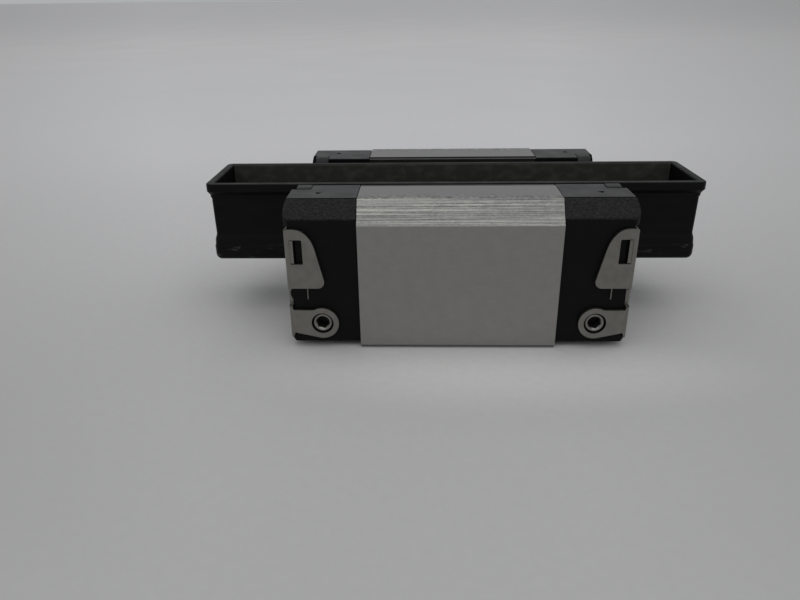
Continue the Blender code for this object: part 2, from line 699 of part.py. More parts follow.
def make_port_screw(name, top, direction, length, material):
    """A grub screw with bevelled ends and a hexagon socket."""
    core_r = PORT_SCREW_R - SCREW_BEVEL
    profile = [(0, -length), (core_r, -length), (PORT_SCREW_R, SCREW_BEVEL - length),
               (PORT_SCREW_R, -SCREW_BEVEL), (core_r, 0), (0, 0)]
    screw = turned(name, profile, top, direction, 16, material)
    combine(screw, hexagon_cutter(f"cut_hex_{name}", top, direction, PORT_SOCKET_DEPTH))


def make_port_screws(material):
    for end, side in ENDS:
        for leg, sign in LEGS:
            top = (side * TAB_X, sign * (WING_OUTER_Y - SCREW_SINK), TAB_Z)
            make_port_screw(f"side_port_screw_{end}_{leg}", top, (0, sign, 0),
                            PORT_SCREW_LENGTH, material)
        top = (side * (PLATE_OUTER_X - SCREW_SINK), 0, TAB_Z)
        make_port_screw(f"end_port_screw_{end}", top, (side, 0, 0), END_SCREW_LENGTH, material)


def make_cap_screws(material):
    reach = CAP_SCREW_TOP_X - CAP_SCREW_TIP_X
    profile = [(0, -reach), (CAP_SCREW_R, -reach), (CAP_SCREW_R, -1.1), (CAP_SCREW_HEAD_R, -0.1),
               (CAP_SCREW_HEAD_R, 0), (0, 0)]
    for end, side in ENDS:
        for leg, sign in LEGS:
            name = f"cap_screw_{end}_{leg}"
            top = (side * CAP_SCREW_TOP_X, sign * CAP_SCREW_Y, CAP_SCREW_Z)
            screw = turned(name, profile, top, (side, 0, 0), 16, material)
            socket = hexagon_cutter(f"cut_hex_{name}", top, (side, 0, 0), CAP_SOCKET_DEPTH)
            combine(screw, socket)


def make_side_seals(material):
    back_y = CHANNEL_HALF_WIDTH - 0.2
    low_z = SEAL_STRIP_TOP_Z - SEAL_STRIP_THICKNESS
    outline = [(RAIL_SIDE_Y, SEAL_STRIP_TOP_Z), (back_y, SEAL_STRIP_TOP_Z), (back_y, low_z),
               (SEAL_STRIP_FOOT_Y, low_z)]
    for leg, sign in LEGS:
        prism(f"side_seal_{leg}", flipped(outline, sign), "X", -BODY_HALF_LENGTH,
              BODY_HALF_LENGTH, material)


def rounded_ring(half_length, half_width, corner_r, steps):
    """A rounded rectangle about the arbor's centre line, counter-clockwise."""
    ring = []
    for quarter, (sx, sy) in enumerate(((1, 1), (-1, 1), (-1, -1), (1, -1))):
        centre = (ARBOR_CENTRE_X + sx * (half_length - corner_r), sy * (half_width - corner_r))
        ring += arc(centre, corner_r, 90 * quarter, 90 * quarter + 90, steps)
    return ring


def make_arbor(material):
    """An open tray: each ring is a height, an inset from the ends and an inset from the sides."""
    outside = [(8.3, 0.95, 1.45), (8.5, 0.3, 0.8), (9.1, 0.0, 0.5), (10.4, 0.02, 0.52),
               (11.4, 0.2, 0.7), (12.1, 0.42, 0.92), (14.6, 0.42, 0.92), (17.35, 0.4, 0.9),
               (17.5, 0.28, 0.78), (17.9, 0.22, 0.65), (18.5, 0.0, 0.0), (ARBOR_TOP_Z, 0.0, 0.0)]
    inside = [(ARBOR_TOP_Z, ARBOR_WALL, ARBOR_WALL),
              (ARBOR_FLOOR_Z, ARBOR_WALL + ARBOR_DRAFT[0], ARBOR_WALL + ARBOR_DRAFT[1])]

    def make(bm):
        rings = []
        for z, end_inset, side_inset in outside + inside:
            corner = max(ARBOR_CORNER_R - end_inset, 0.2)
            points = rounded_ring(ARBOR_HALF_LENGTH - end_inset, ARBOR_HALF_WIDTH - side_inset,
                                  corner, 4)
            rings.append([bm.verts.new((x, y, z)) for x, y in points])
        for lower, upper in zip(rings, rings[1:]):
            for i in range(len(lower)):
                j = (i + 1) % len(lower)
                bm.faces.new((lower[i], lower[j], upper[j], upper[i]))
        bm.faces.new(list(reversed(rings[0])))
        bm.faces.new(rings[-1])

    new_object("transport_arbor", make, material)


def main():
    clear_scene()
    materials = {name: make_material(name) for name in COLOURS}
    make_body(materials["ground_steel"])
    make_segments(materials["hardened_steel"])
    make_ball_guides(materials["guide_plastic"])
    make_return_tubes(materials["guide_plastic"])
    make_ball_circuits(materials["ball_steel"])
    make_turn_plates(materials["guide_plastic"])
    make_caps(materials["cap_plastic"])
    make_end_seals(materials["seal_rubber"])
    make_threaded_plates(materials["stainless_sheet"])
    make_port_screws(materials["screw_steel"])
    make_cap_screws(materials["screw_steel"])
    make_side_seals(materials["seal_rubber"])
    make_arbor(materials["arbor_plastic"])


main()
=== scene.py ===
"""Ball runner block (linear guide carriage) with its transport arbor: the detailed look.

Lengths are in millimetres and become metres when a mesh is made. X runs along the rail, Y across
it, and Z from the mounting face, on the table, to the open side of the rail channel.
"""
import math

import bmesh
import bpy
from mathutils import Matrix, Vector


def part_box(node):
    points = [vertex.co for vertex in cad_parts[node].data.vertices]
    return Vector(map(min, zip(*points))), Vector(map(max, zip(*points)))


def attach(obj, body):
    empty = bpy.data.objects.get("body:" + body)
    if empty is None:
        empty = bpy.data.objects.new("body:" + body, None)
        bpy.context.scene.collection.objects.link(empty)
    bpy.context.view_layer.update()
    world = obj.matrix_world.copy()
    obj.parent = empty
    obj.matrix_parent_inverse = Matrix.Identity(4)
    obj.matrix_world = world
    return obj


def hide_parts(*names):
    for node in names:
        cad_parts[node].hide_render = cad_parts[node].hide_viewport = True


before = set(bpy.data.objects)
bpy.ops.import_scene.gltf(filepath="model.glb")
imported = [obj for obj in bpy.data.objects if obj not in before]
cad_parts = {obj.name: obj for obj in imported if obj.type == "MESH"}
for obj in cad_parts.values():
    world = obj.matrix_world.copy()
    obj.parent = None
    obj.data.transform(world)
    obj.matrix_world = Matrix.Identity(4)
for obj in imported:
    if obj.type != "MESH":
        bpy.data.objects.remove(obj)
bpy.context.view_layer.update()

MM = 0.001
LEGS = (("front", -1), ("rear", 1))
ENDS = (("left", -1), ("right", 1))


def node_box(node):
    """Lowest and highest corners of a CAD node, in millimetres."""
    low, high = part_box(node)
    return low / MM, high / MM


BODY_HIGH = node_box("runner_block_body")[1]
CAP_LOW, CAP_HIGH = node_box("end_cap_right")
SEAL_LOW, SEAL_HIGH = node_box("end_seal_right")
PLATE_LOW, PLATE_HIGH = node_box("threaded_plate_right")
ARBOR_LOW, ARBOR_HIGH = node_box("transport_arbor")
PORT_LOW, PORT_HIGH = node_box("side_port_screw_right_rear")
SCREW_LOW, SCREW_HIGH = node_box("cap_screw_right_rear")
TUBE_LOW, TUBE_HIGH = node_box("return_tube_lower_rear")

# Steel body
BODY_HALF_LENGTH = BODY_HIGH.x
BODY_HALF_WIDTH = BODY_HIGH.y
BODY_HEIGHT = BODY_HIGH.z
BODY_EDGE = 0.5
BODY_ROUNDING = 0.05
LEG_CHAMFER_Z = 16.97
LEG_CHAMFER_Y = 14.77
CHANNEL_HALF_WIDTH = 8.75
CHANNEL_FLOOR_Z = 7.2
CHANNEL_FILLET = 0.3
MOUNT_HOLE_Y = 13.0
MOUNT_HOLE_R = 2.0
MOUNT_HOLE_DEPTH = 6.0
THREAD_PITCH = 0.7
THREAD_DEPTH = 0.35
THREAD_LEAD_IN = 0.3
RETURN_BORE_R = 2.2
TAPPED_HOLE_R = 1.25
TAPPED_HOLE_X = 7

# Ball circuits
BALL_R = 3.175 / 2
BALLS_PER_CIRCUIT = 19
LOADED_Y = 7.3
RETURN_Y = (TUBE_LOW.y + TUBE_HIGH.y) / 2
LOADED_Z = {"lower": 11.3, "upper": 15.65}
RETURN_Z = {"lower": 10.6, "upper": 16.1}
TURN_START_X = 13.0
RACEWAY_R = 1.66

# Hardened segments
SEGMENT_BACK_Y = 9.75
SEGMENT_LIP_Y = 8.75
SEGMENT_Z = (9.25, 17.7)
SEGMENT_GAP = 0.15

# End caps
CAP_INNER_X = CAP_LOW.x
CAP_END_X = CAP_HIGH.x
CAP_LOWER_END_X = 22.05
CAP_CORNER_R = 1.0
CAP_STEP = 0.1
BOSS_REACH = {1: 21.8, -1: 21.35}
BOSS_START_X = 19.5
BOSS_Z = (6.5, 8.75)
BOSS_DEPTH = 0.9
CAP_RECESS_X = 21.4
CAP_SIDE_Y = 16.4
CAP_BOTTOM_Z = CAP_LOW.z
CAP_TOP_Z = CAP_HIGH.z
CAP_FACET_Z = 17.75
CAP_FACET_Y = 14.2
CAP_CHANNEL_Y = 7.9
CAP_CHANNEL_Z = 7.15
PLATE_RECESS_Z = (1.75, 16.75)
POCKET_FOOT_Y = 9.65
POCKET_LEG_Y = 14.85
POCKET_Z = (5.45, 8.4, 18.45)
POCKET_INNER_Y = 6.9
POCKET_END_X = 17.95
END_PORT_X = 18.4
TONGUE_RECESS_Y = 14.8
SEAL_RECESS_X = 19.27
SEAL_RECESS_Y = 10.1
SEAL_RECESS_Z = 5.25
NOTCH_X = 18.1
NOTCH_HALF = 0.5
NOTCH_Y = (11.6, 12.4)
NOTCH_DEPTH = 0.4

# End seals
SEAL_OUTER_Y = 9.8
SEAL_FOOT_Y = 8.25
SEAL_LIP_Y = 7.6
SEAL_BOTTOM_Z = 5.4
SEAL_LIP_Z = (7.6, 18.9)
SEAL_TOOTH_DEPTH = 1.0
SEAL_TOOTH_HALF = 1.3

# Threaded end plates
PLATE_OUTER_X = PLATE_HIGH.x
PLATE_THICKNESS = 0.5
WING_OUTER_Y = PLATE_HIGH.y
WING_THICKNESS = 0.45
PLATE_BEND_R = 0.85
PLATE_Z = (PLATE_LOW.z, PLATE_HIGH.z)
TAB_X = (PORT_LOW.x + PORT_HIGH.x) / 2
TAB_Z = (PORT_LOW.z + PORT_HIGH.z) / 2
TAB_R = 2.15
TAB_ROOT = (21.5, 2.29)
TAB_TOP_Z = 5.53
WING_END_X = 15.15
WING_FLOOR_Z = 8.62
WING_CORNER_R = 0.9
WING_CORNER_X = 18.15
NECK_Z = (5.7, 8.47)
PLATE_CHANNEL_Y = 8.9
PLATE_CHANNEL_Z = 6.3
PLATE_CORNER_X = 20.95
PLATE_CORNER_Y = 15.8
PLATE_CORNER_Z = (5.9, 8.32)
TONGUE_INNER_Y = 15.0
WINDOW_X = (19.8, 21.4)
WINDOW_Z = (11.95, 15.2)
LIP_X = 19.46
LIP_Z = (6.95, 8.8)
LIP_WIDTH = 0.13

# Screws
PORT_SCREW_R = (PORT_HIGH.x - PORT_LOW.x) / 2
PORT_HOLE_R = 1.45
PORT_SOCKET_DEPTH = 2.0
PORT_BEVEL = 0.16
END_SCREW_LENGTH = 3.3
END_SCREW_SINK = 0.15
CAP_SCREW_Y = (SCREW_LOW.y + SCREW_HIGH.y) / 2
CAP_SCREW_Z = (SCREW_LOW.z + SCREW_HIGH.z) / 2
CAP_SCREW_R = 1.1
CAP_SCREW_HEAD_R = 2.1
CAP_SCREW_HEAD_DEPTH = 1.1
CAP_SOCKET_DEPTH = 1.0
SCREW_HOLE_R = 1.4
HEAD_HOLE_R = 1.7
PLATE_HEAD_HOLE_R = 2.3
HEX_FLATS = 1.5
SOCKET_SHADE_DEPTH = (0.25, 2.1)

# Transport arbor
ARBOR_CENTRE_X = (ARBOR_LOW.x + ARBOR_HIGH.x) / 2
ARBOR_HALF_LENGTH = (ARBOR_HIGH.x - ARBOR_LOW.x) / 2
ARBOR_HALF_WIDTH = ARBOR_HIGH.y
ARBOR_BOTTOM_Z = ARBOR_LOW.z
ARBOR_TOP_Z = ARBOR_HIGH.z
ARBOR_CORNER_R = 0.9
ARBOR_FLOOR_Z = 9.4
ARBOR_WALL = 1.05
ARBOR_WAIST = ((17.9, 0.5), (18.5, 0.0))
ARBOR_INNER_WAIST = ((ARBOR_FLOOR_Z, 0.45), (19.6, 0.0))

# Table, light and camera
TABLE_REACH = 12000.0
SKY = (0.96, 0.98, 1.0)
SKY_STRENGTH = 0.44
CEILING_PLACE = (0.0, -0.16, 0.8)
CEILING_SIZE = (1.1, 0.9)
CEILING_POWER = 2.0
CAMERA_PLACE = (-0.00474, -0.09570, 0.04285)
CAMERA_YAW, CAMERA_PITCH, CAMERA_ROLL = (math.radians(a) for a in (-2.040, 24.451, -0.810))
CAMERA_LENS = 30.11

# How far a cutter runs to pass right through a piece
THROUGH = 20


# ---------------------------------------------------------------- outlines

def arc(centre, radius, start, end, steps):
    """Points on an arc, from one angle to another in degrees."""
    points = []
    for i in range(steps + 1):
        angle = math.radians(start + (end - start) * i / steps)
        points.append((centre[0] + radius * math.cos(angle), centre[1] + radius * math.sin(angle)))
    return points


def mirrored(half):
    """A closed outline, symmetric about its second axis, from its positive half."""
    return half + [(-u, v) for u, v in reversed(half)]


def flipped(outline, sign):
    """The outline itself, or its mirror image when sign is -1."""
    return [(sign * u, v) for u, v in outline]


def box_outline(low_u, high_u, low_v, high_v):
    """A plain rectangle."""
    return [(low_u, low_v), (high_u, low_v), (high_u, high_v), (low_u, high_v)]


def rounded(corners, steps=5):
    """An outline whose corners, given as (u, v, radius), are rounded off."""
    outline = []
    count = len(corners)
    for i, (u, v, radius) in enumerate(corners):
        here = Vector((u, v))
        before = (Vector(corners[i - 1][:2]) - here).normalized()
        after = (Vector(corners[(i + 1) % count][:2]) - here).normalized()
        half_angle = before.angle(after) / 2
        if radius == 0 or half_angle > math.radians(89):
            outline.append((u, v))
            continue
        reach = radius / math.tan(half_angle)
        centre = here + (before + after).normalized() * radius / math.sin(half_angle)
        start = here + before * reach - centre
        end = here + after * reach - centre
        sweep = start.angle_signed(end)
        for k in range(steps + 1):
            spoke = start.copy()
            spoke.rotate(Matrix.Rotation(-sweep * k / steps, 2))
            outline.append(tuple(centre + spoke))
    return outline


def span(side, near, far):
    """A stretch on one side of the middle, as its low and high ends."""
    return sorted((side * near, side * far))


# ---------------------------------------------------------------- meshes

def new_object(name, maker):
    """An object from the mesh that maker draws in millimetres."""
    mesh = bpy.data.meshes.new(name)
    bm = bmesh.new()
    maker(bm)
    bmesh.ops.recalc_face_normals(bm, faces=bm.faces)
    bmesh.ops.scale(bm, vec=(MM, MM, MM), verts=bm.verts)
    bm.to_mesh(mesh)
    bm.free()
    obj = bpy.data.objects.new(name, mesh)
    bpy.context.scene.collection.objects.link(obj)
    return obj


def prism(name, outline, axis, low, high):
    """An outline extruded along X, Y or Z between two positions."""
    def place(u, v, t):
        return {"X": (t, u, v), "Y": (u, t, v), "Z": (u, v, t)}[axis]

    def make(bm):
        bottom = [bm.verts.new(place(u, v, low)) for u, v in outline]
        top = [bm.verts.new(place(u, v, high)) for u, v in outline]
        bm.faces.new(bottom)
        bm.faces.new(list(reversed(top)))
        for i in range(len(outline)):
            j = (i + 1) % len(outline)
            bm.faces.new((bottom[i], bottom[j], top[j], top[i]))

    return new_object(name, make)


def turned(name, profile, origin, direction, segments=48):
    """A profile of (radius, height) points turned about an axis; its ends lie on the axis."""
    along = Vector(direction).normalized()
    across = along.orthogonal().normalized()
    third = along.cross(across)
    start = Vector(origin)

    def make(bm):
        rings = []
        for radius, height in profile:
            centre = start + along * height
            if radius == 0:
                rings.append([bm.verts.new(centre)])
                continue
            ring = []
            for k in range(segments):
                angle = 2 * math.pi * k / segments
                spoke = across * math.cos(angle) + third * math.sin(angle)
                ring.append(bm.verts.new(centre + spoke * radius))
            rings.append(ring)
        for inner, outer in zip(rings, rings[1:]):
            for k in range(segments):
                m = (k + 1) % segments
                corners = [inner[k % len(inner)], inner[m % len(inner)]]
                corners += [outer[m % len(outer)], outer[k % len(outer)]]
                bm.faces.new(list(dict.fromkeys(corners)))

    return new_object(name, make)


def rod(name, origin, direction, radius, length, segments=40):
    """A plain cylinder that starts at origin."""
    profile = [(0, 0), (radius, 0), (radius, length), (0, length)]
    return turned(name, profile, origin, direction, segments)


def combine(target, other, operation="DIFFERENCE"):
    """Cut, join or intersect a piece with a helper, which is used up."""
    modifier = target.modifiers.new(other.name, "BOOLEAN")
    modifier.operation = operation
    modifier.solver = "EXACT"
    modifier.object = other
    apply_modifiers(target)
    bpy.data.objects.remove(other, do_unlink=True)


def apply_modifiers(obj):
    """Turn a piece's modifiers into its mesh."""
    bpy.context.view_layer.update()
    graph = bpy.context.evaluated_depsgraph_get()
    mesh = bpy.data.meshes.new_from_object(obj.evaluated_get(graph))
    old = obj.data
    obj.modifiers.clear()
    obj.data = mesh
    bpy.data.meshes.remove(old)


def soften(obj, width, segments=2, angle=32):
    """Round every edge sharper than an angle, by a width in millimetres."""
    bm = bmesh.new()
    bm.from_mesh(obj.data)
    bmesh.ops.remove_doubles(bm, verts=bm.verts, dist=0.004 * MM)
    bmesh.ops.dissolve_limit(bm, angle_limit=math.radians(0.4), verts=bm.verts, edges=bm.edges)
    bm.to_mesh(obj.data)
    bm.free()
    bevel = obj.modifiers.new("edges", "BEVEL")
    bevel.width = width * MM
    bevel.segments = segments
    bevel.limit_method = "ANGLE"
    bevel.angle_limit = math.radians(angle)
    bevel.use_clamp_overlap = True
    bevel.miter_outer = "MITER_ARC"
    apply_modifiers(obj)


def shade(obj, angle=40):
    """Smooth shading that keeps every edge sharper than an angle."""
    mesh = obj.data
    mesh.shade_smooth()
    mesh.set_sharp_from_angle(angle=math.radians(angle))
    weighted = obj.modifiers.new("weighted", "WEIGHTED_NORMAL")
    weighted.keep_sharp = True
    apply_modifiers(obj)


def place(obj, body, nodes, slot, *materials):
    """Finish a piece: its materials, its body and the CAD nodes it stands for. The slot is not
    used.
    """
    obj.data.materials.clear()
    for material in materials:
        obj.data.materials.append(material)
    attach(obj, body)
    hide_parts(*nodes)


# ---------------------------------------------------------------- materials

class Shader:
    """A Principled material with a few procedural layers."""

    def __init__(self, name, colour, roughness, metallic=0.0, specular=0.5):
        self.material = bpy.data.materials.new(name)
        self.material.use_nodes = True
        self.tree = self.material.node_tree
        self.shader = self.tree.nodes["Principled BSDF"]
        self.shader.inputs["Base Color"].default_value = (*colour, 1.0)
        self.shader.inputs["Roughness"].default_value = roughness
        self.shader.inputs["Metallic"].default_value = metallic
        self.shader.inputs["Specular IOR Level"].default_value = specular
        self.material.diffuse_color = (*colour, 1.0)
        self.coordinates = self.tree.nodes.new("ShaderNodeTexCoord").outputs["Object"]
        self.normal = None

    def node(self, kind, **inputs):
        made = self.tree.nodes.new(kind)
        for name, value in inputs.items():
            self.feed(made.inputs[name.replace("_", " ")], value)
        return made

    def feed(self, socket, value):
        if isinstance(value, bpy.types.NodeSocket):
            self.tree.links.new(value, socket)
        else:
            socket.default_value = value

    def noise(self, scale, detail=3.0, stretch=(1, 1, 1), turn=(0, 0, 0), roughness=0.5):
        """Noise whose scale is in features per metre; stretch multiplies it on each axis."""
        mapping = self.node("ShaderNodeMapping", Vector=self.coordinates)
        mapping.inputs["Rotation"].default_value = turn
        mapping.inputs["Scale"].default_value = stretch
        noise = self.node("ShaderNodeTexNoise", Vector=mapping.outputs["Vector"], Scale=scale,
                          Detail=detail, Roughness=roughness)
        return noise.outputs["Fac"]

    def remap(self, value, low, high, to_low, to_high, kind="LINEAR"):
        made = self.node("ShaderNodeMapRange")
        made.interpolation_type = kind
        made.inputs["From Min"].default_value = low
        made.inputs["From Max"].default_value = high
        made.inputs["To Min"].default_value = to_low
        made.inputs["To Max"].default_value = to_high
        self.feed(made.inputs["Value"], value)
        return made.outputs["Result"]

    def maths(self, operation, *values):
        made = self.tree.nodes.new("ShaderNodeMath")
        made.operation = operation
        for socket, value in zip(made.inputs, values):
            self.feed(socket, value)
        return made.outputs["Value"]

    def vector(self, operation, *values):
        made = self.tree.nodes.new("ShaderNodeVectorMath")
        made.operation = operation
        for socket, value in zip(made.inputs, values):
            self.feed(socket, value)
        return made.outputs["Value" if operation == "LENGTH" else "Vector"]

    def mix(self, amount, first, second):
        """Blend two colours by an amount from 0 to 1."""
        made = self.tree.nodes.new("ShaderNodeMix")
        made.data_type = "RGBA"
        self.feed(made.inputs["Factor"], amount)
        for socket, value in ((made.inputs[6], first), (made.inputs[7], second)):
            self.feed(socket, value if isinstance(value, bpy.types.NodeSocket) else (*value, 1.0))
        return made.outputs[2]

    def paint(self, colour):
        self.feed(self.shader.inputs["Base Color"], colour)

    def rough(self, value):
        self.feed(self.shader.inputs["Roughness"], value)

    def bump(self, height, strength, distance):
        """Raise the surface by a height pattern; distance is in millimetres."""
        made = self.tree.nodes.new("ShaderNodeBump")
        made.inputs["Strength"].default_value = strength
        made.inputs["Distance"].default_value = distance * MM
        self.feed(made.inputs["Height"], height)
        if self.normal is not None:
            self.feed(made.inputs["Normal"], self.normal)
        self.normal = made.outputs["Normal"]
        self.feed(self.shader.inputs["Normal"], self.normal)


def steel_side():
    """Ground flank: even grey with a very fine lengthwise grain."""
    s = Shader("steel_ground_side", (0.30, 0.295, 0.29), 0.46, 1.0)
    cloud = s.noise(700, 4)
    s.paint(s.mix(s.remap(cloud, 0.35, 0.65, 0, 1), (0.318, 0.31, 0.30), (0.335, 0.328, 0.318)))
    grain = s.noise(9000, 2, (0.06, 1, 1))
    s.rough(s.remap(grain, 0.3, 0.7, 0.42, 0.54))
    s.bump(grain, 0.35, 0.01)
    return s.material


def steel_top():
    """Leg tops: a little brighter, with torn flecks along the chamfer's edge."""
    s = Shader("steel_leg_top", (0.42, 0.41, 0.40), 0.38, 1.0)
    grain = s.noise(7000, 2, (0.08, 1, 1))
    fleck = s.noise(5200, 3, (0.42, 0.8, 1), roughness=0.6)
    across = s.node("ShaderNodeSeparateXYZ", Vector=s.coordinates).outputs["Y"]
    distance = s.maths("ABSOLUTE", across)
    near_edge = s.remap(distance, 0.0118, 0.0148, 0.0, 1.0)
    near_edge = s.maths("POWER", near_edge, 1.5)
    dark = s.maths("MULTIPLY", s.remap(fleck, 0.50, 0.58, 0.0, 1.0), near_edge)
    light = s.maths("MULTIPLY", s.remap(fleck, 0.45, 0.37, 0.0, 1.0), near_edge)
    base = s.mix(s.remap(grain, 0.3, 0.7, 0, 1), (0.30, 0.292, 0.284), (0.345, 0.337, 0.329))
    base = s.mix(s.maths("MULTIPLY", dark, 0.9), base, (0.10, 0.097, 0.094))
    s.paint(s.mix(s.maths("MULTIPLY", light, 0.8), base, (0.72, 0.71, 0.68)))
    s.rough(s.remap(grain, 0.3, 0.7, 0.34, 0.46))
    s.bump(grain, 0.3, 0.01)
    s.bump(s.maths("MULTIPLY", fleck, near_edge), 0.6, 0.03)
    return s.material


def steel_chamfer():
    """Drawn chamfer: lines that run lengthwise, break and fade, over a short fine hatch."""
    s = Shader("steel_drawn_chamfer", (0.55, 0.54, 0.51), 0.36, 1.0)
    lines = s.noise(8600, 1, (0.004, 1, 1), roughness=0.6)
    fine = s.noise(9000, 2, (0.05, 1, 1), roughness=0.6)
    breaks = s.noise(900, 3, (0.6, 3, 3))
    dark = s.maths("MULTIPLY", s.remap(lines, 0.50, 0.64, 0.0, 1.0),
                   s.remap(breaks, 0.36, 0.56, 0.25, 1.0))
    light = s.maths("MULTIPLY", s.remap(lines, 0.46, 0.34, 0.0, 1.0),
                    s.remap(breaks, 0.64, 0.44, 0.3, 1.0))
    hatch = s.noise(7000, 2, (0.35, 1, 1), roughness=0.7)
    base = s.mix(s.remap(fine, 0.38, 0.62, 0, 1), (0.232, 0.230, 0.221), (0.302, 0.299, 0.282))
    base = s.mix(s.maths("MULTIPLY", dark, 0.82), base, (0.11, 0.108, 0.112))
    base = s.mix(s.maths("MULTIPLY", light, 0.78), base, (0.60, 0.585, 0.53))
    base = s.mix(s.remap(hatch, 0.52, 0.66, 0.0, 0.26), base, (0.13, 0.128, 0.128))
    s.paint(s.mix(s.remap(hatch, 0.48, 0.34, 0.0, 0.26), base, (0.50, 0.49, 0.45)))
    s.rough(s.remap(fine, 0.3, 0.7, 0.30, 0.44))
    s.bump(lines, 0.4, 0.025)
    s.bump(fine, 0.3, 0.01)
    return s.material


def plain_steel(name, colour, roughness, grain_scale=5000):
    """Steel with an even grain and no direction."""
    s = Shader(name, colour, roughness, 1.0)
    grain = s.noise(grain_scale, 3)
    darker = tuple(0.86 * c for c in colour)
    s.paint(s.mix(s.remap(grain, 0.3, 0.7, 0, 1), darker, colour))
    s.rough(s.remap(grain, 0.3, 0.7, roughness * 0.85, roughness * 1.2))
    s.bump(grain, 0.2, 0.008)
    return s.material


def stainless_sheet():
    """Punched sheet: dull and a little mottled."""
    s = Shader("stainless_sheet", (0.36, 0.35, 0.32), 0.42, 1.0)
    mottle = s.noise(900, 4)
    fine = s.noise(5200, 3)
    s.paint(s.mix(s.remap(mottle, 0.35, 0.65, 0, 1), (0.215, 0.208, 0.19), (0.25, 0.243, 0.222)))
    s.rough(s.remap(mottle, 0.35, 0.65, 0.38, 0.46))
    s.bump(fine, 0.3, 0.012)
    return s.material


def moulded(name, colour, roughness, texture, depth, specular=0.5):
    """Moulded plastic or rubber: texture is the grain's scale, depth its height in millimetres."""
    s = Shader(name, colour, roughness, 0.0, specular)
    grain = s.noise(texture, 4, (0.7, 1, 1))
    cloud = s.noise(350, 3)
    lighter = tuple(1.8 * c for c in colour)
    s.paint(s.mix(s.remap(grain, 0.45, 0.75, 0, 1), colour, lighter))
    s.rough(s.remap(cloud, 0.35, 0.65, roughness * 0.88, roughness * 1.12))
    s.bump(grain, 0.8, depth)
    return s.material


def eroded_black():
    """Spark-eroded texture: shallow pits drawn out along the block."""
    s = Shader("cap_facet", (0.008, 0.008, 0.0075), 0.5, 0.0, 0.22)
    pits = s.noise(4600, 3, (0.55, 1.2, 1.2), roughness=0.6)
    s.paint(s.mix(s.remap(pits, 0.40, 0.66, 0, 1),
                  (0.0012, 0.0012, 0.0011), (0.016, 0.0155, 0.0145)))
    s.rough(s.remap(pits, 0.35, 0.65, 0.62, 0.42))
    s.bump(pits, 0.8, 0.03)
    return s.material


def arbor_black():
    """Handled black moulding: soft sheen, faint streaks and pale scuffs near its foot."""
    s = Shader("arbor_black", (0.003, 0.003, 0.003), 0.38, 0.0, 0.14)
    streak = s.noise(1500, 3, (0.12, 1, 0.5))
    scuff = s.noise(1100, 5, (0.45, 1, 1.6), roughness=0.75)
    height = s.node("ShaderNodeSeparateXYZ", Vector=s.coordinates).outputs["Z"]
    low_band = s.remap(height, 0.0112, 0.0098, 0.0, 1.0)
    scuffed = s.maths("MULTIPLY", s.remap(scuff, 0.58, 0.74, 0.0, 0.6), low_band)
    base = s.mix(s.remap(streak, 0.4, 0.7, 0, 1),
                 (0.0015, 0.0015, 0.0015), (0.0045, 0.0044, 0.0042))
    s.paint(s.mix(scuffed, base, (0.20, 0.195, 0.185)))
    s.rough(s.remap(streak, 0.35, 0.65, 0.36, 0.5))
    s.bump(streak, 0.25, 0.02)
    s.bump(scuffed, 0.3, 0.02)
    return s.material


def floor_material():
    """Matt table top with painted light and shade: palest far off, painted shade in front and to
    both sides of the view behind the block, and a painted pool of light just in front of the
    block."""
    s = Shader("table_top", (0.6, 0.6, 0.6), 0.6, 0.0, 0.3)
    cloud = s.noise(14, 4)
    grain = s.noise(900, 4)
    split = s.node("ShaderNodeSeparateXYZ", Vector=s.coordinates)
    across, back = split.outputs["X"], split.outputs["Y"]
    # Painted light falloff: the table is painted darker in front and palest far off.
    base = s.mix(s.remap(back, -0.07, 0.14, 0.0, 1.0, "SMOOTHSTEP"),
                 (0.58, 0.573, 0.572), (0.82, 0.81, 0.815))
    distance = s.vector("LENGTH", s.coordinates)
    base = s.mix(s.remap(distance, 0.18, 0.75, 0.0, 1.0, "SMOOTHSTEP"), base, (0.92, 0.90, 0.90))

    # Painted shade: the table is painted darker to both sides of the view behind the block.
    spread = s.maths("MULTIPLY_ADD", back, 0.91, 0.105)
    sideways = s.maths("DIVIDE", across, s.maths("MAXIMUM", spread, 0.06))
    sideways = s.maths("ABSOLUTE", s.maths("ADD", sideways, 0.12))
    painted_shade_flanks = s.maths("MULTIPLY", s.remap(sideways, 0.30, 0.72, 0.0, 0.5),
                     s.remap(sideways, 0.8, 1.3, 1.0, 0.0))
    painted_shade_flanks = s.maths("MULTIPLY", painted_shade_flanks, s.remap(back, -0.12, -0.04, 0.0, 1.0))
    base = s.mix(painted_shade_flanks, base, (0.42, 0.415, 0.41))

    # Painted light: a lighter pool painted on the table just in front of the block, lifting the
    # shade there.
    stretched = s.vector("MULTIPLY_ADD", s.coordinates, (0.3, 1.0, 1.0), (-0.0015, 0.0225, 0.0))
    near = s.remap(s.vector("LENGTH", stretched), 0.001, 0.0115, 0.6, 0.0, "SMOOTHSTEP")
    base = s.mix(near, base, (0.92, 0.905, 0.89))
    base = s.mix(s.remap(cloud, 0.3, 0.7, 0.0, 0.2), base, (0.66, 0.655, 0.65))
    s.paint(s.mix(s.remap(grain, 0.3, 0.7, 0.0, 0.12), base, (0.45, 0.445, 0.44)))
    s.bump(grain, 0.2, 0.02)
    return s.material


# ---------------------------------------------------------------- pieces

def paint_faces(obj, chooser):
    """Give each face the material index that chooser(normal, centre in mm) returns."""
    for face in obj.data.polygons:
        face.material_index = chooser(face.normal, face.center / MM)


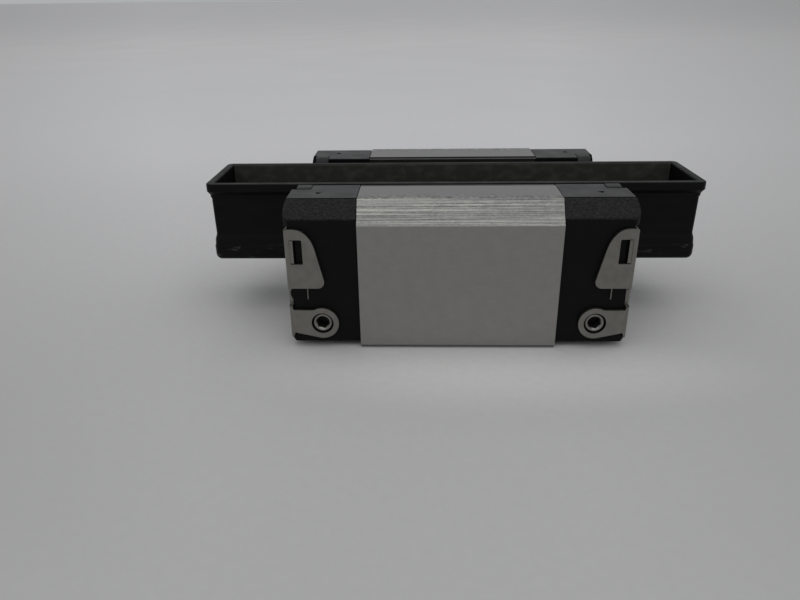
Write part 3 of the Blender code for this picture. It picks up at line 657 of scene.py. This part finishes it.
def build_body(side, top, chamfer, ends, channel):
    """The steel saddle, with a material for each kind of face; the channel walls take a dark steel
    that is painted shade.
    """
    half = rounded([
        (BODY_HALF_WIDTH - BODY_EDGE, 0, 0.1),
        (BODY_HALF_WIDTH, BODY_EDGE, 0.1),
        (BODY_HALF_WIDTH, LEG_CHAMFER_Z, 0.12),
        (LEG_CHAMFER_Y, BODY_HEIGHT, 0.15),
        (CHANNEL_HALF_WIDTH, BODY_HEIGHT, 0.05),
        (CHANNEL_HALF_WIDTH, SEGMENT_Z[1] + SEGMENT_GAP, 0),
        (SEGMENT_BACK_Y + SEGMENT_GAP, SEGMENT_Z[1] + SEGMENT_GAP, 0),
        (SEGMENT_BACK_Y + SEGMENT_GAP, SEGMENT_Z[0] - SEGMENT_GAP, 0),
        (CHANNEL_HALF_WIDTH, SEGMENT_Z[0] - SEGMENT_GAP, 0),
        (CHANNEL_HALF_WIDTH, CHANNEL_FLOOR_Z, CHANNEL_FILLET),
        (0, CHANNEL_FLOOR_Z, 0),
        (0, 0, 0),
    ], 4)[:-2]
    body = prism("steel_body", mirrored(half), "X", -BODY_HALF_LENGTH, BODY_HALF_LENGTH)
    soften(body, BODY_ROUNDING)
    groove = MOUNT_HOLE_R - THREAD_DEPTH
    mouth = MOUNT_HOLE_R + THREAD_LEAD_IN
    threads = [(0, -1), (mouth, -1), (mouth, 0), (MOUNT_HOLE_R, THREAD_LEAD_IN)]
    turns = int((MOUNT_HOLE_DEPTH - 0.5) / THREAD_PITCH)
    for k in range(turns):
        z = THREAD_LEAD_IN + k * THREAD_PITCH
        threads += [(groove, z + THREAD_PITCH / 2), (MOUNT_HOLE_R, z + THREAD_PITCH)]
    end = threads[-1][1]
    threads += [(groove, end + 0.2), (groove, end + 1.0), (0, end + 1.9)]
    for _, sign in LEGS:
        combine(body, turned("threads", threads, (0, sign * MOUNT_HOLE_Y, 0), (0, 0, 1), 36))
        for z in RETURN_Z.values():
            start = (-BODY_HALF_LENGTH - 1, sign * RETURN_Y, z)
            combine(body, rod("bore", start, (1, 0, 0), RETURN_BORE_R, 2 * BODY_HALF_LENGTH + 2))
        for _, side_x in ENDS:
            start = (side_x * TAPPED_HOLE_X, sign * CAP_SCREW_Y, CAP_SCREW_Z)
            combine(body, rod("tapped", start, (side_x, 0, 0), TAPPED_HOLE_R, 7, 24))
    shade(body, 30)

    def choose(normal, centre):
        faces_end = abs(normal.x) > 0.5
        on_underside = centre.z < 0.3
        # Channel walls take the dark steel, painted shade in the channel.
        if not faces_end and not on_underside and abs(centre.y) < CHANNEL_HALF_WIDTH + 0.03:
            return 4
        if faces_end or on_underside:
            return 3
        if abs(normal.y) > 0.9:
            return 0
        return 1 if normal.z > 0.9 else 2

    place(body, "carriage", ["runner_block_body"], "ground_steel", side, top, chamfer, ends,
          channel)
    paint_faces(body, choose)


def build_segments(material):
    """A hardened insert for each leg, with the grooves of its two ball rows."""
    centre_upper = (LOADED_Y, LOADED_Z["upper"])
    centre_lower = (LOADED_Y, LOADED_Z["lower"])
    outline = [(SEGMENT_BACK_Y, SEGMENT_Z[0]), (SEGMENT_BACK_Y, SEGMENT_Z[1]),
               (SEGMENT_LIP_Y, SEGMENT_Z[1])]
    outline += arc(centre_upper, RACEWAY_R, 60, -10, 16)
    outline += arc(centre_lower, RACEWAY_R, 10, -60, 16)
    outline.append((SEGMENT_LIP_Y, SEGMENT_Z[0]))
    for leg, sign in LEGS:
        segment = prism(f"raceway_{leg}", flipped(outline, sign), "X",
                        -BODY_HALF_LENGTH, BODY_HALF_LENGTH)
        soften(segment, 0.05)
        shade(segment)
        place(segment, "carriage", [f"raceway_segment_{leg}"], "hardened_steel", material)


def circuit_point(sign, loaded_z, return_z, way):
    """A place at a distance along a loop of two straight rows joined by two half circles."""
    loaded = Vector((0, sign * LOADED_Y, loaded_z))
    back = Vector((0, sign * RETURN_Y, return_z))
    middle = (loaded + back) / 2
    radius = (back - loaded).length / 2
    outward = (back - loaded).normalized()
    along = Vector((1, 0, 0))
    straight = 2 * TURN_START_X
    half_turn = math.pi * radius
    direction = 1
    if way >= straight + half_turn:
        way -= straight + half_turn
        direction = -1
    row = loaded if direction == 1 else back
    if way < straight:
        return row + along * direction * (way - TURN_START_X)
    angle = (way - straight) / radius
    spoke = along * math.sin(angle) - outward * math.cos(angle)
    return middle + direction * (along * TURN_START_X + spoke * radius)


def build_balls(material):
    """Separate balls, evenly spaced round each of the four circuits."""
    for leg, sign in LEGS:
        for level, loaded_z in LOADED_Z.items():
            return_z = RETURN_Z[level]
            radius = math.hypot(RETURN_Y - LOADED_Y, return_z - loaded_z) / 2
            length = 2 * (2 * TURN_START_X + math.pi * radius)
            centres = []
            for k in range(BALLS_PER_CIRCUIT):
                way = length * (k + 0.5) / BALLS_PER_CIRCUIT
                centres.append(circuit_point(sign, loaded_z, return_z, way))

            def make(bm, centres=centres):
                for centre in centres:
                    ball = bmesh.ops.create_icosphere(bm, subdivisions=3, radius=BALL_R)
                    bmesh.ops.translate(bm, vec=centre, verts=ball["verts"])

            balls = new_object(f"balls_{level}_{leg}", make)
            balls.data.shade_smooth()
            place(balls, "carriage", [f"ball_circuit_{level}_{leg}"], "ball_steel", material)


def cap_section():
    """The cap seen along X."""
    return mirrored(rounded([
        (CAP_SIDE_Y, CAP_BOTTOM_Z, 0.4),
        (CAP_SIDE_Y, CAP_FACET_Z - CAP_STEP / 2, 0.4),
        (CAP_FACET_Y + 0.02, CAP_TOP_Z - CAP_STEP, 0),
        (CAP_FACET_Y + 0.02, CAP_TOP_Z, 0.03),
        (CAP_CHANNEL_Y, CAP_TOP_Z, 0.15),
        (CAP_CHANNEL_Y, CAP_CHANNEL_Z, 0.3),
        (0, CAP_CHANNEL_Z, 0),
        (0, CAP_BOTTOM_Z, 0),
    ], 6)[:-2])


def cap_profile():
    """The cap seen along Y: rounded lower corner, and a foot that swells past the plate."""
    return rounded([
        (CAP_INNER_X, CAP_BOTTOM_Z, 0),
        (CAP_LOWER_END_X, CAP_BOTTOM_Z, 1.0),
        (CAP_LOWER_END_X, PLATE_RECESS_Z[1], 0),
        (CAP_END_X - 0.08, PLATE_RECESS_Z[1], 0.12),
        (CAP_END_X, 17.7, 1.5),
        (CAP_END_X - 0.05, 18.9, 1.2),
        (CAP_END_X - 0.3, CAP_TOP_Z, 0.25),
        (CAP_INNER_X, CAP_TOP_Z, 0),
    ], 6)


def cap_plan():
    """The cap seen along Z: rounded outer corners."""
    end = CAP_END_X + 0.02
    width = CAP_SIDE_Y + 0.02
    return rounded([(CAP_INNER_X, -width, 0), (end, -width, CAP_CORNER_R),
                    (end, width, CAP_CORNER_R), (CAP_INNER_X, width, 0)], 8)


def pocket_outline():
    """The hollow in the cap's inner face that holds the recirculation plate."""
    bottom, shoulder, top = POCKET_Z
    floor = CAP_CHANNEL_Z + 0.4
    return mirrored([(POCKET_FOOT_Y, bottom), (POCKET_FOOT_Y, shoulder), (POCKET_LEG_Y, shoulder),
                     (POCKET_LEG_Y, top), (POCKET_INNER_Y, top), (POCKET_INNER_Y, floor)])


def build_cap(end, side, smooth, facet, top):
    """A moulded cap, cut to take the pieces that sit in it."""
    low, high = span(side, CAP_INNER_X, CAP_END_X + 1)
    cap = prism(f"cap_{end}", cap_section(), "X", low, high)
    profile = flipped(cap_profile(), side)
    combine(cap, prism("profile", profile, "Y", -THROUGH, THROUGH), "INTERSECT")
    combine(cap, prism("plan", flipped(cap_plan(), side), "Z", -1, 25), "INTERSECT")
    beyond = CAP_END_X + 1
    seal_recess = mirrored([(SEAL_RECESS_Y, SEAL_RECESS_Z), (SEAL_RECESS_Y, CAP_TOP_Z + 1)])
    plate_recess = mirrored([(THROUGH, PLATE_RECESS_Z[0]), (THROUGH, PLATE_RECESS_Z[1])])
    for cutter in (
            prism("pocket", pocket_outline(), "X", *span(side, CAP_INNER_X - 1, POCKET_END_X)),
            prism("seal_recess", seal_recess, "X", *span(side, SEAL_RECESS_X, beyond)),
            prism("plate_recess", plate_recess, "X", *span(side, CAP_RECESS_X, beyond)),
            rod("end_port", (side * END_PORT_X, 0, TAB_Z), (side, 0, 0), PORT_HOLE_R, 5)):
        combine(cap, cutter)
    for _, sign in LEGS:
        reach = BOSS_REACH[side * sign]
        boss = rounded([(BOSS_START_X, BOSS_Z[0], 0), (reach - 0.45, BOSS_Z[0], 0.3),
                        (reach, 7.4, 0.9), (reach, BOSS_Z[1], 0.1), (BOSS_START_X, BOSS_Z[1], 0)])
        boss = prism("boss", flipped(boss, side), "Y",
                     *span(sign, CAP_SIDE_Y - BOSS_DEPTH, CAP_SIDE_Y))
        combine(cap, boss, "UNION")
        start = (side * TAB_X, sign * (WING_OUTER_Y - 3.0), TAB_Z)
        combine(cap, rod("side_port", start, (0, sign, 0), PORT_HOLE_R, 4))
        start = (side * (CAP_INNER_X - 1), sign * CAP_SCREW_Y, CAP_SCREW_Z)
        combine(cap, rod("screw_hole", start, (side, 0, 0), SCREW_HOLE_R, 12, 24))
        start = (side * (CAP_RECESS_X - 0.5), sign * CAP_SCREW_Y, CAP_SCREW_Z)
        combine(cap, rod("head_hole", start, (side, 0, 0), HEAD_HOLE_R, 2, 24))
        tongue = box_outline(*span(side, WINDOW_X[1] - 0.65, CAP_RECESS_X + 1),
                             WINDOW_Z[0] - 0.2, WINDOW_Z[1] + 0.2)
        combine(cap, prism("tongue_recess", tongue, "Y", *span(sign, TONGUE_RECESS_Y, THROUGH)))
        notch = [(side * (NOTCH_X - NOTCH_HALF), sign * NOTCH_Y[0]),
                 (side * (NOTCH_X + NOTCH_HALF), sign * NOTCH_Y[0]),
                 (side * NOTCH_X, sign * NOTCH_Y[1])]
        combine(cap, prism("notch", notch, "Z", CAP_TOP_Z - NOTCH_DEPTH, CAP_TOP_Z + 1))
    soften(cap, 0.06)
    shade(cap, 35)

    def choose(normal, centre):
        if centre.z < 17.4:
            return 0
        if normal.z > 0.93:
            return 2
        return 1 if normal.z > 0.2 or abs(centre.x) > CAP_RECESS_X else 0

    place(cap, "carriage", [f"end_cap_{end}"], "cap_plastic", smooth, facet, top)
    paint_faces(cap, choose)


def build_end_seal(end, side, material):
    """A flat wiper whose inner edge follows the rail, with a tooth in each ball groove."""
    half = [(SEAL_OUTER_Y, SEAL_BOTTOM_Z, 0.3), (SEAL_OUTER_Y, SEAL_HIGH.z, 0.25),
            (SEAL_FOOT_Y, SEAL_HIGH.z, 0.25), (SEAL_LIP_Y, SEAL_LIP_Z[1], 0)]
    for groove_z in (LOADED_Z["upper"], LOADED_Z["lower"]):
        half += [(SEAL_LIP_Y, groove_z + SEAL_TOOTH_HALF, 0.3),
                 (SEAL_LIP_Y - SEAL_TOOTH_DEPTH, groove_z, 0.5),
                 (SEAL_LIP_Y, groove_z - SEAL_TOOTH_HALF, 0.3)]
    half += [(SEAL_LIP_Y, SEAL_LIP_Z[0], 0.5), (0, SEAL_LIP_Z[0], 0), (0, SEAL_BOTTOM_Z, 0)]
    low, high = span(side, SEAL_LOW.x, SEAL_HIGH.x)
    seal = prism(f"seal_{end}", mirrored(rounded(half, 6)[:-2]), "X", low, high)
    soften(seal, 0.08)
    shade(seal)
    place(seal, "carriage", [f"end_seal_{end}"], "seal_rubber", material)


def plate_plan():
    """The bent sheet seen along Z."""
    inner_x = PLATE_OUTER_X - PLATE_THICKNESS
    inner_y = WING_OUTER_Y - WING_THICKNESS
    bend = (PLATE_OUTER_X - PLATE_BEND_R, WING_OUTER_Y - PLATE_BEND_R)
    inner_r = PLATE_BEND_R - WING_THICKNESS
    inner_bend = (inner_x - inner_r, inner_y - inner_r)
    half = [(WING_END_X, inner_y), (WING_END_X, WING_OUTER_Y)]
    half += arc(bend, PLATE_BEND_R, 90, 0, 10)
    other = [(x, -y) for x, y in reversed(half)]
    back = arc(inner_bend, inner_r, 0, 90, 8)
    front = [(x, -y) for x, y in reversed(back)]
    return half + other + front + back


def smooth_curve(points, steps):
    """A Catmull-Rom curve through the points."""
    ends = [points[0]] + list(points) + [points[-1]]
    out = []
    for p0, p1, p2, p3 in zip(ends, ends[1:], ends[2:], ends[3:]):
        for k in range(steps):
            t = k / steps
            out.append(tuple(
                0.5 * (2 * b + (c - a) * t + (2 * a - 5 * b + 4 * c - d) * t * t
                       + (3 * b - a - 3 * c + d) * t ** 3)
                for a, b, c, d in zip(p0, p1, p2, p3)))
    return out + [points[-1]]


def plate_profile():
    """The sheet seen along Y: the end face, the windowed wing and the screw tab."""
    beyond = PLATE_OUTER_X + 1
    neck = PLATE_OUTER_X - PLATE_THICKNESS - 0.05
    root_x, root_z = TAB_ROOT
    drop = TAB_Z - root_z
    reach = root_x - TAB_X
    lean = math.degrees(math.atan2(drop, reach) + math.acos(TAB_R / math.hypot(reach, drop)))
    outline = [(beyond, PLATE_Z[0]), (root_x + 0.3, PLATE_Z[0]), TAB_ROOT]
    outline += arc((TAB_X, TAB_Z), TAB_R, -lean, -288, 36)
    outline += smooth_curve([(18.75, 5.56), (19.1, 5.52), (19.6, TAB_TOP_Z)], 4)
    outline += [(21.45, TAB_TOP_Z), (neck, NECK_Z[0]), (neck, NECK_Z[1]), (21.45, WING_FLOOR_Z)]
    corner = (WING_CORNER_X, WING_FLOOR_Z + WING_CORNER_R)
    outline += arc(corner, WING_CORNER_R, -90, -196, 10)
    outline += smooth_curve([(18.25, 14.0), (18.6, 14.95), (19.1, 15.7), (19.65, 16.2),
                             (20.35, 16.5), (21.3, 16.57)], 5)
    outline += [(21.7, PLATE_Z[1] - 0.1), (22.0, PLATE_Z[1] - 0.4), (beyond, PLATE_Z[1] - 0.4)]
    return outline


def build_plate(end, side, material):
    """The bent sheet with its windows, tabs, holes, tongues and thin lips."""
    plate = prism(f"plate_{end}", flipped(plate_plan(), side), "Z", TAB_Z - TAB_R - 0.1,
                  PLATE_Z[1])
    profile = flipped(plate_profile(), side)
    combine(plate, prism("sheet", profile, "Y", -THROUGH, THROUGH), "INTERSECT")
    channel = [(PLATE_CHANNEL_Y, 30, 0), (PLATE_CHANNEL_Y, PLATE_CHANNEL_Z, 0.8),
               (0, PLATE_CHANNEL_Z, 0), (0, 30, 0)]
    channel = mirrored(rounded(channel, 6)[:-2])
    combine(plate, prism("channel", channel, "X", *span(side, 20, 24)))
    combine(plate, rod("port", (side * 21, 0, TAB_Z), (side, 0, 0), PORT_HOLE_R, 3))
    window = rounded([(side * x, z, 0.15) for x, z in box_outline(*WINDOW_X, *WINDOW_Z)])
    for _, sign in LEGS:
        combine(plate, prism("window", window, "Y", *span(sign, 15.5, 18)))
        start = (side * TAB_X, sign * 15.5, TAB_Z)
        combine(plate, rod("tab_hole", start, (0, sign, 0), PORT_HOLE_R, 3))
        start = (side * 21, sign * CAP_SCREW_Y, CAP_SCREW_Z)
        combine(plate, rod("head_hole", start, (side, 0, 0), PLATE_HEAD_HOLE_R, 3))
        corner = box_outline(*span(sign, PLATE_CORNER_Y, 18), *PLATE_CORNER_Z)
        combine(plate, prism("corner", corner, "X", *span(side, PLATE_CORNER_X, 24)))
        tongue = box_outline(*span(side, WINDOW_X[1] - 0.45, WINDOW_X[1] + 0.35),
                             WINDOW_Z[0] + 0.1, WINDOW_Z[1] - 0.1)
        tongue = prism("tongue", tongue, "Y", *span(sign, TONGUE_INNER_Y, WING_OUTER_Y - 0.1))
        combine(plate, tongue, "UNION")
        lip = box_outline(*span(side, LIP_X, LIP_X + LIP_WIDTH), *LIP_Z)
        combine(plate, prism("lip", lip, "Y", *span(sign, CAP_SIDE_Y + 0.02, CAP_SIDE_Y + 0.2)),
                "UNION")
    soften(plate, 0.07)
    shade(plate, 35)
    place(plate, "carriage", [f"threaded_plate_{end}"], "stainless_sheet", material)


def hexagon(mouth, direction, depth):
    """The cutter for a hexagon socket."""
    radius = HEX_FLATS / 2 / math.cos(math.pi / 6)
    start = Vector(mouth) - Vector(direction) * depth
    return rod("socket", start, direction, radius, depth + 1, 6)


def paint_socket_shade(screw, mouth, direction):
    """The faces sunk inside the hexagon take the second material, a dark painted shade."""
    axis = Vector(direction)
    shallow, deep = SOCKET_SHADE_DEPTH

    def choose(normal, centre):
        offset = centre - Vector(mouth)
        depth = -offset.dot(axis)
        away = (offset + axis * depth).length
        return 1 if shallow < depth < deep and away < HEX_FLATS / 2 + 0.13 else 0

    paint_faces(screw, choose)


def build_port_screw(name, node, top, direction, length, material, socket):
    """A headless set screw whose socket has a cone at its mouth."""
    flat_r = PORT_SCREW_R - PORT_BEVEL
    profile = [(0, -length), (flat_r, -length), (PORT_SCREW_R, PORT_BEVEL - length),
               (PORT_SCREW_R, -PORT_BEVEL), (flat_r, 0), (0, 0)]
    screw = turned(name, profile, top, direction, 40)
    countersink = HEX_FLATS / 2 + 0.2
    cone = [(0, -0.3), (countersink - 0.25, -0.3), (countersink + 0.25, 0.2), (0, 0.2)]
    combine(screw, turned("countersink", cone, top, direction, 40))
    combine(screw, hexagon(top, direction, PORT_SOCKET_DEPTH))
    soften(screw, 0.04)
    shade(screw, 35)
    place(screw, "carriage", [node], "screw_steel", material, socket)
    paint_socket_shade(screw, top, direction)


def build_cap_screw(name, node, top, direction, length, material, socket):
    """A countersunk screw with a hexagon socket."""
    profile = [(0, -length), (CAP_SCREW_R, -length), (CAP_SCREW_R, -CAP_SCREW_HEAD_DEPTH),
               (CAP_SCREW_HEAD_R, -0.12), (CAP_SCREW_HEAD_R, 0), (0, 0)]
    screw = turned(name, profile, top, direction, 40)
    combine(screw, hexagon(top, direction, CAP_SOCKET_DEPTH))
    soften(screw, 0.05)
    shade(screw, 35)
    place(screw, "carriage", [node], "screw_steel", material, socket)
    paint_socket_shade(screw, top, direction)


def build_screws(material, socket):
    """On each end: a port screw in the middle, and one port screw and one fixing per leg."""
    for end, side in ENDS:
        top = (side * (PLATE_OUTER_X - END_SCREW_SINK), 0, TAB_Z)
        build_port_screw(f"end_port_{end}", f"end_port_screw_{end}", top, (side, 0, 0),
                         END_SCREW_LENGTH, material, socket)
        for leg, sign in LEGS:
            top = (side * TAB_X, sign * PORT_HIGH.y, TAB_Z)
            build_port_screw(f"side_port_{end}_{leg}", f"side_port_screw_{end}_{leg}", top,
                             (0, sign, 0), PORT_HIGH.y - PORT_LOW.y, material, socket)
            top = (side * SCREW_HIGH.x, sign * CAP_SCREW_Y, CAP_SCREW_Z)
            build_cap_screw(f"cap_fixing_{end}_{leg}", f"cap_screw_{end}_{leg}", top,
                            (side, 0, 0), SCREW_HIGH.x - SCREW_LOW.x, material, socket)


def arbor_ring(end_inset, side_inset, corner_r, steps):
    """The arbor's plan, drawn in from its ends and sides."""
    ring = []
    half_length = ARBOR_HALF_LENGTH - end_inset
    half_width = ARBOR_HALF_WIDTH - side_inset
    for quarter, (sx, sy) in enumerate(((1, 1), (-1, 1), (-1, -1), (1, -1))):
        centre = (ARBOR_CENTRE_X + sx * (half_length - corner_r), sy * (half_width - corner_r))
        ring += arc(centre, corner_r, 90 * quarter, 90 * quarter + 90, steps)
    return ring


def build_arbor(outside, inside, rim):
    """An open tray whose wall, lipped rim and flared foot run round all four sides.

    Its profile is given as height, inset and corner radius. Under the lip the two long sides
    are drawn in a little further than the ends.
    """
    top = ARBOR_TOP_Z
    corners = [(ARBOR_BOTTOM_Z, 1.6, 0.2), (ARBOR_BOTTOM_Z, 0.02, 0.8), (10.35, 0.02, 0.3),
               (10.5, 0.1, 0.1), (11.4, 0.2, 0.3), (12.1, 0.45, 0.8), (14.6, 0.42, 0),
               (17.35, 0.4, 0.1), (17.45, 0.28, 0.08), (17.85, 0.24, 0.2), (18.5, 0.0, 0.3),
               (top, 0.0, 0.16), (top, ARBOR_WALL, 0.24), (ARBOR_FLOOR_Z, 1.4, 0.4),
               (ARBOR_FLOOR_Z, 2.6, 0)]
    profile = rounded(corners, 4)

    def drawn_in(z, table):
        (low_z, low), (high_z, high) = table
        share = min(max((z - low_z) / (high_z - low_z), 0.0), 1.0)
        return low + (high - low) * share

    def make(bm):
        rings = []
        table = ARBOR_WAIST
        for z, inset in profile:
            if z > top - 0.001:
                table = ARBOR_INNER_WAIST
            corner_r = max(ARBOR_CORNER_R - inset, 0.25)
            points = arbor_ring(inset, inset + drawn_in(z, table), corner_r, 8)
            rings.append([bm.verts.new((x, y, z)) for x, y in points])
        for lower, upper in zip(rings, rings[1:]):
            for i in range(len(lower)):
                j = (i + 1) % len(lower)
                bm.faces.new((lower[i], lower[j], upper[j], upper[i]))
        bm.faces.new(list(reversed(rings[0])))
        bm.faces.new(rings[-1])

    arbor = new_object("arbor", make)
    shade(arbor, 45)
    place(arbor, "arbor", ["transport_arbor"], "arbor_plastic", outside, inside, rim)
    deep = ARBOR_HALF_LENGTH - 1.0
    wide = ARBOR_HALF_WIDTH - 1.0

    # Inside faces and rim take lighter copies of the black moulding: painted light.
    def choose(normal, centre):
        if centre.z < ARBOR_FLOOR_Z - 0.2:
            return 0
        if abs(centre.x - ARBOR_CENTRE_X) < deep and abs(centre.y) < wide:
            return 0 if abs(normal.x) > 0.6 else 1
        return 2 if normal.z > 0.6 and centre.z > top - 0.3 and centre.y < wide else 0

    paint_faces(arbor, choose)


def dress_cad_nodes(prefixes, material):
    """Inner pieces whose CAD shape is right keep it and get a finished material."""
    for name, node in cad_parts.items():
        if name.startswith(prefixes):
            node.data.materials.clear()
            node.data.materials.append(material)


# ---------------------------------------------------------------- stage

def build_floor(material):
    """A wide flat table top that meets the sky of the studio at its far edge."""
    def make(bm):
        corners = box_outline(-TABLE_REACH, TABLE_REACH, -TABLE_REACH, TABLE_REACH)
        bm.faces.new([bm.verts.new((x, y, 0.0)) for x, y in corners])

    floor = new_object("table", make)
    floor.data.materials.append(material)


def build_lights():
    """An even sky and one soft light overhead."""
    world = bpy.data.worlds.new("studio")
    bpy.context.scene.world = world
    world.use_nodes = True
    background = world.node_tree.nodes["Background"]
    background.inputs["Color"].default_value = (*SKY, 1.0)
    background.inputs["Strength"].default_value = SKY_STRENGTH
    light = bpy.data.lights.new("ceiling", "AREA")
    light.shape = "RECTANGLE"
    light.size, light.size_y = CEILING_SIZE
    light.energy = CEILING_POWER
    ceiling = bpy.data.objects.new("ceiling", light)
    bpy.context.scene.collection.objects.link(ceiling)
    ceiling.location = CEILING_PLACE
    ceiling.rotation_euler = (-Vector(CEILING_PLACE)).to_track_quat("-Z", "Y").to_euler()


def build_camera():
    """A camera turned by yaw, pitch and roll from level, looking along Y."""
    data = bpy.data.cameras.new("camera")
    data.sensor_width = 36.0
    data.lens = CAMERA_LENS
    data.clip_start = 0.005
    camera = bpy.data.objects.new("camera", data)
    bpy.context.scene.collection.objects.link(camera)
    ahead = Vector((math.sin(CAMERA_YAW) * math.cos(CAMERA_PITCH),
                    math.cos(CAMERA_YAW) * math.cos(CAMERA_PITCH), -math.sin(CAMERA_PITCH)))
    right = Vector((math.cos(CAMERA_YAW), -math.sin(CAMERA_YAW), 0))
    up = right.cross(ahead)
    across = right * math.cos(CAMERA_ROLL) + up * math.sin(CAMERA_ROLL)
    upright = up * math.cos(CAMERA_ROLL) - right * math.sin(CAMERA_ROLL)
    matrix = Matrix((across, upright, -ahead)).transposed().to_4x4()
    matrix.translation = CAMERA_PLACE
    camera.matrix_world = matrix
    bpy.context.scene.camera = camera
    bpy.context.scene.view_settings.view_transform = "Standard"


# ---------------------------------------------------------------- assembly

build_camera()
build_lights()
build_floor(floor_material())

bright_steel = plain_steel("raceway_steel", (0.55, 0.55, 0.55), 0.22)
screw_steel = plain_steel("screw_steel", (0.27, 0.262, 0.24), 0.3)
inner_steel = plain_steel("steel_ends", (0.33, 0.325, 0.32), 0.42)
# Dark steel for the channel walls: painted shade in the channel.
channel_steel_painted_shade = plain_steel("channel_steel_painted_shade", (0.075, 0.073, 0.07), 0.5)
chrome = plain_steel("polished_balls", (0.78, 0.78, 0.79), 0.07, 9000)
sheet = stainless_sheet()
cap_smooth = moulded("cap_side", (0.0028, 0.0028, 0.0028), 0.5, 5000, 0.01, 0.13)
cap_rough = eroded_black()
cap_top = moulded("cap_top", (0.018, 0.0176, 0.018), 0.44, 6000, 0.012, 0.45)
rubber = moulded("seal_rubber", (0.016, 0.016, 0.0165), 0.5, 4000, 0.012)
guide = moulded("guide_plastic", (0.33, 0.318, 0.28), 0.45, 4000, 0.01)

build_body(steel_side(), steel_top(), steel_chamfer(), inner_steel, channel_steel_painted_shade)
build_segments(bright_steel)
build_balls(chrome)
for end_name, end_side in ENDS:
    build_cap(end_name, end_side, cap_smooth, cap_rough, cap_top)
    build_end_seal(end_name, end_side, rubber)
    build_plate(end_name, end_side, sheet)
# The socket material is dark painted shade inside the hexagon sockets.
build_screws(screw_steel, moulded("socket", (0.02, 0.019, 0.018), 0.45, 4000, 0.01, 0.3))
# The inside and rim materials are lighter copies of the black moulding: painted light.
build_arbor(arbor_black(),
            moulded("arbor_inside_painted_light", (0.036, 0.035, 0.032), 0.6, 900, 0.03, 0.2),
            moulded("arbor_rim_painted_light", (0.010, 0.0098, 0.0095), 0.5, 2600, 0.02, 0.2))
dress_cad_nodes(("ball_guide", "return_tube", "recirculation_plate"), guide)
dress_cad_nodes(("side_seal",), rubber)
